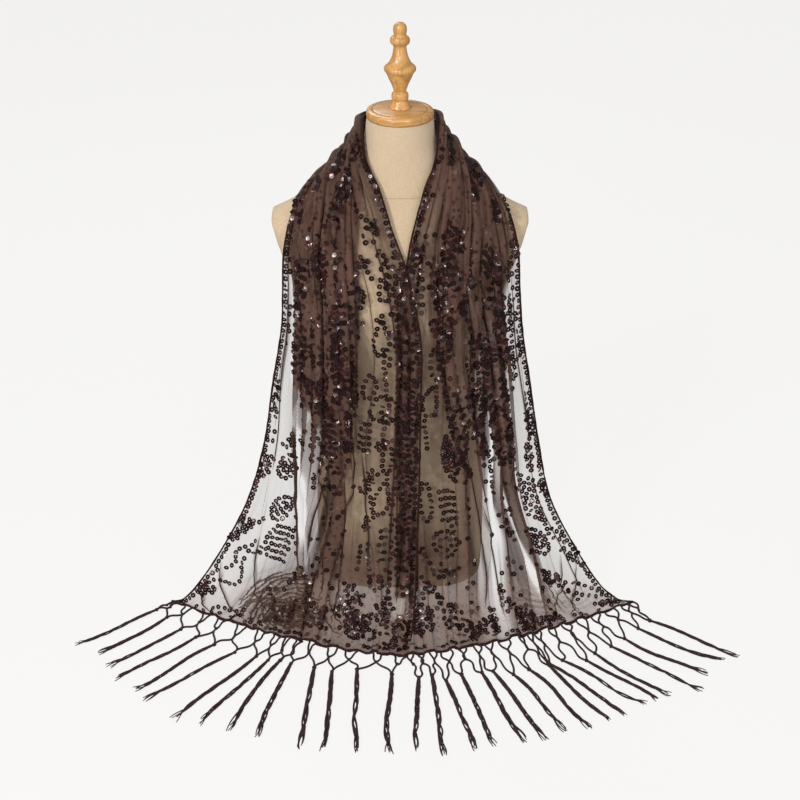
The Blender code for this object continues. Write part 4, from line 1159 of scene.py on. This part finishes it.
def chain(wide, high):
    # a straight or slightly bowed line down the middle of its box
    t = np.linspace(-0.5, 0.5, 30)
    bow = np.sin(t * 5.0) * 0.4
    path = (wide * bow, t * high) if high >= wide else (t * wide, high * bow)
    return evenly(np.stack(path, -1), sequin["loose"])


def wave(wide, high):
    t = np.linspace(-0.5, 0.5, 60)
    return evenly(np.stack((wide / 2 * np.sin(t * high / 0.055 * math.tau), t * high), -1), sequin["loose"])


motifShapes = {shape.__name__: shape for shape in
               (rosette, loop, cluster, dashes, fern, drop, paisley, arcs, chain, wave)}
# Motifs, listed one by one: shape, along, reach, width and height in metres, degrees turned
# clockwise as seen from the front.
motifs = {
    "left": (
        ("cluster", .340, .275, .024, .020, 20), ("loop", .360, .180, .036, .033, 0),
        ("cluster", .385, .355, .022, .025, 0), ("loop", .395, .175, .021, .023, 0),
        ("drop", .455, .245, .033, .056, 0), ("chain", .515, .230, .003, .079, 0),
        ("chain", .425, .335, .051, .003, 4), ("loop", .575, .255, .034, .044, 0),
        ("loop", .620, .180, .025, .047, 10), ("loop", .310, .160, .021, .025, 0),
        ("chain", .275, .195, .003, .051, -8), ("cluster", .305, .115, .012, .014, 0),
        ("loop", .285, .520, .039, .050, 0), ("drop", .325, .670, .030, .051, 0),
        ("cluster", .515, .950, .016, .041, 8), ("cluster", .650, .945, .018, .050, 8),
        ("cluster", .795, .950, .018, .041, 30), ("cluster", .935, .950, .036, .025, -20),
        ("rosette", .655, .800, .033, .050, 0), ("rosette", .745, .775, .035, .050, 0),
        ("rosette", .595, .650, .032, .045, 0), ("rosette", .500, .645, .034, .047, 0),
        ("rosette", .430, .745, .028, .040, 0), ("cluster", .605, .820, .015, .020, 0),
        ("dashes", .820, .710, .036, .080, 24), ("chain", .815, .790, .010, .050, 20),
        ("wave", .855, .905, .017, .088, 20), ("chain", .770, .920, .037, .033, -38),
        ("chain", .840, .840, .044, .028, -30), ("chain", .910, .890, .048, .028, -30),
        ("chain", .875, .845, .007, .039, -10), ("chain", .690, .620, .003, .029, 0),
        ("chain", .815, .540, .015, .002, 0), ("chain", .710, .535, .016, .020, -40),
        ("dashes", .620, .345, .027, .068, 34), ("cluster", .710, .290, .016, .049, 20),
        ("loop", .585, .195, .025, .047, 0), ("loop", .675, .190, .019, .056, 0),
        ("drop", .745, .210, .032, .062, 0), ("dashes", .830, .180, .015, .067, 0),
        ("chain", .850, .285, .002, .036, 0), ("chain", .860, .235, .005, .063, -6),
        ("loop", .890, .190, .020, .024, 0), ("cluster", .790, .275, .010, .026, 0),
        ("cluster", .880, .560, .014, .040, 10), ("chain", .930, .640, .010, .060, -20),
        ("cluster", .915, .490, .016, .074, 6), ("paisley", .955, .555, .064, .034, -25),
        ("cluster", .955, .425, .034, .050, 0), ("arcs", .950, .305, .050, .045, 40),
        ("dashes", .920, .290, .040, .054, 40), ("paisley", .960, .230, .043, .049, 20),
        ("cluster", .935, .130, .027, .046, 0), ("loop", .975, .170, .030, .018, 0),
        ("chain", .970, .795, .051, .019, -25), ("chain", .985, .675, .068, .017, -20),
        ("loop", .530, .330, .022, .040, 0), ("chain", .480, .190, .006, .050, 10),
        ("cluster", .645, .235, .012, .016, 0), ("chain", .760, .255, .004, .040, -8),
    ),
    "right": (
        ("chain", .290, .055, .004, .053, 8), ("chain", .330, .130, .012, .031, 30),
        ("cluster", .360, .085, .018, .037, 0), ("loop", .380, .170, .024, .034, 0),
        ("chain", .420, .145, .003, .034, 0), ("loop", .405, .270, .024, .024, 0),
        ("cluster", .445, .255, .015, .018, 0), ("chain", .445, .320, .012, .061, 8),
        ("cluster", .485, .305, .015, .026, 0), ("chain", .320, .505, .003, .030, 0),
        ("chain", .445, .595, .003, .057, 0), ("loop", .385, .410, .021, .019, 0),
        ("cluster", .305, .860, .015, .031, 0), ("cluster", .370, .845, .015, .069, 0),
        ("cluster", .465, .840, .017, .048, 0), ("dashes", .505, .815, .016, .015, 0),
        ("cluster", .260, .950, .012, .033, 0), ("cluster", .420, .945, .014, .040, 0),
        ("loop", .420, .900, .014, .055, 0), ("loop", .505, .275, .021, .051, 0),
        ("drop", .570, .225, .031, .061, 10), ("chain", .510, .355, .028, .005, 20),
        ("rosette", .550, .405, .034, .044, 0), ("rosette", .585, .480, .028, .049, 0),
        ("paisley", .670, .350, .039, .082, -20), ("rosette", .605, .430, .035, .053, 0),
        ("cluster", .690, .465, .019, .020, 0), ("dashes", .760, .305, .028, .059, -14),
        ("loop", .830, .265, .040, .044, 0), ("loop", .830, .265, .020, .022, 0),
        ("chain", .800, .310, .017, .032, 20), ("chain", .860, .165, .010, .045, -20),
        ("arcs", .880, .260, .030, .015, 0), ("chain", .905, .195, .027, .015, 25),
        ("dashes", .945, .260, .037, .056, 10), ("chain", .940, .425, .024, .005, 10),
        ("chain", .955, .430, .005, .021, 10), ("cluster", .980, .315, .030, .041, 0),
        ("chain", .680, .622, .004, .083, 0),
        ("dashes", .780, .640, .013, .004, 0), ("chain", .800, .625, .010, .023, -20),
        ("chain", .880, .580, .017, .005, 10), ("cluster", .560, .945, .016, .060, 0),
        ("cluster", .635, .895, .013, .064, 0), ("cluster", .705, .960, .010, .034, -8),
        ("cluster", .855, .950, .014, .043, -25), ("cluster", .975, .930, .030, .012, 20),
        ("dashes", .725, .850, .033, .094, 20), ("dashes", .800, .790, .027, .031, 20),
        ("rosette", .820, .795, .034, .052, -10), ("arcs", .900, .790, .022, .040, -20),
        ("chain", .790, .915, .027, .050, 0),
        ("chain", .820, .940, .024, .060, -20), ("loop", .930, .900, .024, .060, -50),
        ("chain", .925, .825, .017, .051, -10),
        ("cluster", .985, .660, .046, .018, 10), ("cluster", .980, .575, .034, .067, 0),
        ("paisley", .970, .405, .040, .043, 20), ("cluster", .930, .525, .008, .052, 0),
        ("rosette", .470, .325, .021, .028, 0), ("rosette", .540, .590, .028, .045, 0),
        ("loop", .760, .170, .020, .071, 0),
        ("cluster", .950, .110, .037, .055, 0), ("loop", .920, .165, .030, .029, 0),
        ("rosette", .895, .085, .034, .040, 0), ("chain", .620, .185, .006, .080, 0),
    ),
}


def seenPlace(way, along, reach):
    # places in the flat cloth of places given as they hang
    return np.stack((along, acrossAt(along * way, reach)), -1)


def layMotifs(side):
    # every sequin of the listed motifs: its box is measured on the cloth as it hangs
    way = ways[side]
    parts = []
    for shape, along, reach, wide, high, turn in motifs[side]:
        x, y = motifShapes[shape](wide, high).T
        c, s = math.cos(math.radians(turn)), math.sin(math.radians(turn))
        x, y = (x, y + x * s) if shape == "dashes" else (x * c - y * s, x * s + y * c)
        parts.append(seenPlace(way, along + y, reach + way * x / lengthAt(along * way)))
    return np.concatenate(parts)


def layRows(side, chance):
    # Chains that follow the edges, and the close rows down the middle of the front: whether it is the
    # outer edge, metres from it, where the row starts, the share that is kept, how far it strays.
    way, hem = ways[side], stole["hem"]
    rows = list(sequin["edgeRows"])
    rows += [(0, 0.0075 + sequin["middlePitch"] * k, 0.34 + 0.02 * (k % 3), 0.88, 0.0013)
             for k in range(sequin["middleRows"][side])]
    parts = []
    for k, (outer, off, start, keep, stray) in enumerate(rows):
        line = np.arange(start + 0.004 * (k % 2), hem - 0.008, sequin["loose"] * 0.94)
        share = (off + chance.normal(0, stray, len(line))) / lengthAt(line * way)
        kept = chance.random(len(line)) < keep * ((off < 0.018) | (line < 0.60) | (not outer))
        parts.append(seenPlace(way, line, 1 - share if outer else share)[kept])
    line = np.arange(0.02, stole["width"] - 0.02, sequin["loose"])
    hemRow = np.stack((np.full(len(line), hem - 0.010), line / stole["width"]), -1)
    parts.append(hemRow[chance.random(len(line)) < 0.7])
    return np.concatenate(parts)


def layFields(side, chance):
    # motifs on a staggered net all over the cloth, kept only where it lies gathered
    way, kinds = ways[side], sequin["fieldKinds"]
    stepAlong, stepAcross = sequin["fieldStep"]
    parts = []
    for i, along in enumerate(np.arange(0.17, stole["hem"] - 0.03, stepAlong)):
        share = np.interp(along, *sequin["fieldShare"])
        for across in np.arange(0.04 + 0.045 * (i % 2), stole["width"] - 0.03, stepAcross):
            if chance.random() > share:
                continue
            local = motifShapes[kinds[len(parts) % len(kinds)]](*sequin["fieldSize"])
            a = math.radians(chance.uniform(-40, 40) + 180 * (len(parts) % 2))
            local = local @ np.array(((math.cos(a), math.sin(a)), (-math.sin(a), math.cos(a))))
            parts.append(np.stack((along + local[:, 1], (across + local[:, 0]) / stole["width"]), -1))
    laid = np.concatenate(parts)
    column = np.clip(np.round(laid[:, 1] * stole["columns"]), 0, stole["columns"]).astype(int)
    layers = cloth["layers"][rowOf(laid[:, 0] * way), column]
    kept = chance.random(len(laid)) < np.interp(laid[:, 0], *sequin["fieldKept"])
    return laid[(layers > sequin["gathered"]) & kept]


def thinOut(places):
    # where two sequins would lie nearly on one another, only the first stays
    cell = np.round(places * (1.0, stole["width"]) / sequin["nearest"]).astype(int)
    _, first = np.unique(cell[:, 0] * 4096 + cell[:, 1], return_index=True)
    return places[np.sort(first)]


def makeFoil():
    material, tree, shader = startMaterial("sequinFoil")
    tint, mottle = readMark(tree, "tint"), mottled(tree, 0.02, 0.0009)
    tone = plus(tree, times(tree, mathNode(tree, "POWER", tint, 5.0), 0.8),
                remap(tree, mottle["Quick"], 0.35, 0.65, 0.0, 0.12))
    colour = mixColour(tree, tone, sequin["dark"], sequin["red"])
    colour = mixColour(tree, remap(tree, tint, 0.05, 0.09, 1.0, 0.0), colour, sequin["mauve"])
    feed(tree, shader, {"Base Color": colour, "Roughness": remap(tree, mottle["Quick"], 0.3, 0.7, 0.13, 0.24),
                        "Normal": bumpFrom(tree, mottle["Quick"], 0.00005, 0.4),
                        "Specular IOR Level": 0.36, "Specular Tint": (1.0, 0.80, 0.78, 1.0)})
    return material


def makeSequins(side, material):
    # each a dished ring: middle + radius * share * (cos a * run + sin a * aside) + height * normal
    chance = np.random.default_rng(sequin["seed"][side])
    way, hem = ways[side], stole["hem"]
    places = thinOut(np.concatenate((layMotifs(side), layRows(side, chance), layFields(side, chance))))
    inside = (places[:, 0] < hem - stole["margin"]) & (places[:, 0] > 0.05)
    inside &= (places[:, 1] > 0.002) & (places[:, 1] < 0.998)
    offLabel = (places * (way, 1) - stole["labelAt"]) / sequin["offLabel"]
    places = places[inside & (np.abs(offLabel).max(-1) > 1)]
    count, corners = len(places), sequin["sides"]
    places = places + chance.normal(0, 1, (count, 2)) * sequin["stray"]
    points, normals, outwards = onCloth(places[:, 0] * way, places[:, 1])
    normals = unit(normals * 0.4 + outwards * 0.8)
    points = points + normals * (sequin["lift"] + chance.uniform(0, 0.0004, (count, 1)))
    points[:, 2] = np.maximum(points[:, 2], sequin["least"])
    tilt = chance.normal(0, math.tan(math.radians(sequin["tilt"])), (count, 3))
    normals = unit(normals + tilt - normals * (tilt * normals).sum(-1, keepdims=True))
    run = unit(np.cross(normals, chance.normal(0, 1, (count, 3))))
    aside = np.cross(normals, run)
    turn = np.arange(corners) * math.tau / corners
    ring = run[:, None] * np.cos(turn)[:, None] + aside[:, None] * np.sin(turn)[:, None]
    radius = sequin["radius"] * chance.uniform(0.94, 1.04, (count, 1, 1, 1))
    shares, heights = np.array(sequin["rings"]), np.array(sequin["cup"])
    mesh = points[:, None, None] + ring[:, None] * radius * shares[:, None, None]
    mesh = mesh + (normals[:, None] * heights[:, None])[:, :, None]
    size = len(shares) * corners
    quads = repeatQuads(gridQuads(len(shares), corners, closed=True)[:, ::-1], count, size)
    tint = np.repeat(chance.random(count), size)
    return makePiece("sequins" + side.title(), mesh, quads, material,
                     marks={"tint": tint}, smoothShade=False)


foil = makeFoil()
sequinPieces = {side: makeSequins(side, foil) for side in ways}
print("sequins are sewn on")


fringe = {
    "yarnRadius": 0.00145, "sides": 6, "steps": 34, "yarns": 6, "bundle": 0.0027, "turns": 2.0,
    "slim": ((10, 50), (1.0, 0.66)),   # a tassel's thickness by its degrees from straight ahead
    "height": (0.0036, 0.0032, 0.0026),      # over the floor at a tassel's head, a quarter down and its end
    "fray": 0.0028, "shorter": 0.07,         # metres that its yarns part, share that some are shorter
    "linkRadius": 0.00180, "linkSteps": 13, "bow": 0.0022, "firstRow": 0.42, "sag": 0.075,
    "knot": 0.0034, "knotGrid": (8, 10), "seed": {"left": 5, "right": 9},
    "dark": (0.0110, 0.0044, 0.0042), "light": (0.050, 0.017, 0.016),
}
tassels = {   # head x and y, degrees from straight ahead, length
    "left": ((-.416, -.177, -55, .148), (-.395, -.196, -49, .130), (-.367, -.225, -51, .136),
             (-.339, -.244, -52, .150), (-.306, -.261, -48, .152), (-.270, -.279, -51, .169),
             (-.234, -.288, -40, .176), (-.214, -.297, -36, .163), (-.194, -.297, -25, .162),
             (-.176, -.304, -14, .160), (-.138, -.313, -4, .168), (-.109, -.322, -1, .162),
             (-.069, -.317, 2, .171), (-.013, -.328, -2, .161)),
    "right": ((.030, -.335, -2, .147), (.051, -.330, 3, .165), (.073, -.341, 17, .145),
              (.098, -.328, 17, .152), (.131, -.324, 21, .153), (.149, -.321, 26, .159),
              (.181, -.328, 34, .139), (.207, -.317, 35, .153), (.240, -.308, 35, .144),
              (.241, -.304, 45, .157), (.263, -.297, 51, .153), (.302, -.297, 51, .134),
              (.318, -.281, 52, .143), (.347, -.265, 54, .162), (.372, -.247, 56, .146),
              (.399, -.223, 59, .149), (.422, -.204, 58, .156)),
}


def makeLinks(heads, hem, chance):
    # Open knotted meshes: from two places on the hem down to each upper knot, and from there to the
    # heads beside it, as (1 - t) * start + t * end + bow * sin(pi t) + sag * sin(2 pi t).
    count = len(heads)
    nearest = np.linalg.norm(hem[None] - heads[:, None], axis=-1).argmin(1)
    nearest = np.maximum.accumulate(nearest + np.arange(count) * 0.001).astype(int)
    first, last = max(nearest[0] - 8, 3), min(nearest[-1] + 6, len(hem) - 3)
    middle = np.concatenate(((first,), (nearest[1:] + nearest[:-1]) // 2, (last,)))
    between = np.concatenate((heads[:1], (heads[1:] + heads[:-1]) / 2, heads[-1:]))
    upper = hem[middle] + (between - hem[middle]) * fringe["firstRow"]
    upper[:, 2] = np.maximum(upper[:, 2] * 0.5, 0.0026)
    spread = np.maximum(np.gradient(middle) * 0.30, 1.5).astype(int)
    roots = [hem[np.clip(middle + way * spread, 0, len(hem) - 1)] for way in (-1, 1)]
    links = [np.stack(pair, 1) for pair in
             ((roots[0], upper), (roots[1], upper), (upper[:-1], heads), (upper[1:], heads))]
    inwards = np.repeat((1, -1, -1, 1), [len(part) for part in links])[:, None, None]
    links = np.concatenate(links)
    t = np.linspace(0, 1, fringe["linkSteps"])[None, :, None]
    bow = chance.normal(0, fringe["bow"], (len(links), 1, 3)) * (1, 1, 0.2)
    gone = links[:, 1:] - links[:, :1]
    across = unit(np.cross(gone, (0.0, 0.0, 1.0)))
    paths = links[:, :1] * (1 - t) + links[:, 1:] * t + bow * np.sin(t * math.pi)
    sag = fringe["sag"] * chance.uniform(0.2, 1.5, (len(links), 1, 1))
    paths += across * inwards * sag * np.linalg.norm(gone, axis=-1, keepdims=True) * np.sin(t * math.tau)
    paths[..., 2] = np.maximum(paths[..., 2], 0.0015)
    return upper, sweepTubes(paths, fringe["linkRadius"], fringe["sides"])


def makeTassels(heads, angles, lengths, chance):
    # yarns that wind round one another, hold together at the head and part near the end
    count, yarns = len(heads), fringe["yarns"]
    t = np.linspace(0, 1, fringe["steps"])
    turn = np.radians(angles + chance.normal(0, 1.0, count))
    ahead = np.stack((np.sin(turn), -np.cos(turn), turn * 0), -1)
    aside = np.stack((np.cos(turn), np.sin(turn), turn * 0), -1)
    bend = chance.normal(0, 0.0035, (count, 1)) * np.sin(t * math.pi)
    bend = bend + chance.normal(0, 0.0016, (count, 1)) * np.sin(t * math.tau)
    line = heads[:, None] + ahead[:, None] * (lengths[:, None] * t)[..., None]
    line = line + aside[:, None] * bend[..., None]
    line[..., 2] = np.interp(t, (0, 0.25, 1), fringe["height"])
    phase = chance.uniform(0, math.tau, (count, 1, 1)) + np.arange(yarns)[None, :, None] * math.tau / yarns
    wind = phase + chance.uniform(0.8, 1.2, (count, yarns, 1)) * fringe["turns"] * math.tau * t
    slim = np.interp(np.abs(angles), *fringe["slim"])[:, None, None]
    wide = slim * fringe["bundle"] * (0.55 + 0.45 * smooth(t / 0.15))
    wide = wide * (1 + chance.uniform(0, 0.5, (count, yarns, 1)) * t)
    fray = chance.normal(0, fringe["fray"], (count, yarns, 1)) * smooth((t - 0.72) / 0.28) ** 2
    path = line[:, None] + aside[:, None, None] * (np.cos(wind) * wide + fray)[..., None]
    path[..., 2] += np.sin(wind) * wide * 0.75
    path[..., 2] = np.maximum(path[..., 2], 0.0011)
    shorter = 1 - chance.uniform(0, fringe["shorter"], (count, yarns, 1, 1))
    path = path[:, :, :1] + (path - path[:, :, :1]) * shorter
    radii = slim ** 0.5 * fringe["yarnRadius"] * np.interp(t, (0, 0.05, 0.85, 1), (0.9, 1.05, 0.95, 0.5))
    radii = np.repeat(radii[:, 0], yarns, 0)
    return sweepTubes(path.reshape(count * yarns, len(t), 3), radii, fringe["sides"])


def makeKnots(centres, sizes, chance):
    # squashed balls with a ridge: (sin u cos v, sin u sin v, cos u) * (1 + 0.1 sin(3 v + 4 u))
    rings, corners = fringe["knotGrid"]
    turns = np.arange(corners) * math.tau / corners
    lat, lon = np.meshgrid(np.linspace(0.02, math.pi - 0.02, rings), turns, indexing="ij")
    ball = np.stack((np.sin(lat) * np.cos(lon), np.sin(lat) * np.sin(lon), np.cos(lat)), -1)
    ball = ball * (1 + 0.10 * np.sin(3 * lon + 4 * lat))[..., None]
    sizes = (sizes * chance.uniform(0.9, 1.15, len(sizes)))[:, None, None, None]
    knots = centres[:, None, None] + ball * sizes * (1, 1, 0.85)
    knots[..., 2] = np.maximum(knots[..., 2], 0.0004)
    quads = repeatQuads(gridQuads(rings, corners, closed=True)[:, ::-1], len(centres), rings * corners)
    uv = np.stack([np.broadcast_to(v, knots.shape[:3]) for v in (lon / math.tau, lat * 0.003)], -1)
    return knots.reshape(-1, 3), quads, uv.reshape(-1, 2)


def makeFringe(side, material):
    chance = np.random.default_rng(fringe["seed"][side])
    table = np.array(tassels[side])[::ways[side]]        # from the inner edge outwards
    hem = cloth["points"][0 if side == "left" else -1]
    heads = np.concatenate((table[:, :2], np.full((len(table), 1), fringe["height"][0])), 1)
    upper, links = makeLinks(heads, hem, chance)
    parts = [links, makeTassels(heads, table[:, 2], table[:, 3], chance)]
    sizes = np.repeat((fringe["knot"], fringe["knot"] * 0.8), (len(heads), len(upper)))
    parts.append(makeKnots(np.concatenate((heads, upper)), sizes, chance))
    points, quads, uv = joinParts(parts)
    return makePiece("fringe" + side.title(), points, quads, material, "fringe_" + side, uv=uv)


yarnMaterial = makeThread("fringeYarn", fringe["dark"], fringe["light"], 0.0032, 0.7)
fringePieces = {side: makeFringe(side, yarnMaterial) for side in ways}
print("fringe is knotted")


label = {
    "along": (-0.938, -0.913), "across": (0.034, 0.072), "behind": 0.0012, "cells": 10,
    "colour": (0.62, 0.58, 0.53), "shade": (0.52, 0.48, 0.43),
}


def makeLabel():
    # a small blank ribbon that follows the cloth just behind it
    material, tree, shader = startMaterial("labelRibbon")
    weave = useGroup(tree, weaveGroup, {"Place": clothPlace(tree), "Pitch": 0.0006, "Slub": 0.3})
    feed(tree, shader, {"Base Color": mixColour(tree, weave["Tone"], label["colour"], label["shade"]),
                        "Normal": bumpFrom(tree, weave["Height"], 0.0001, 0.6),
                        "Roughness": 0.45, "Sheen Weight": 0.3})
    steps = [np.linspace(*label[key], label["cells"] + 1) for key in ("along", "across")]
    a, c = np.meshgrid(*steps, indexing="ij")
    points, normals, _ = onCloth(a.ravel(), c.ravel())
    points = points - normals * label["behind"]
    uv = np.stack((c * stole["width"], a), -1)
    return makePiece("careLabel", points, gridQuads(*a.shape)[:, ::-1], material, "care_label", uv=uv)


careLabel = makeLabel()
print("the label is sewn on")
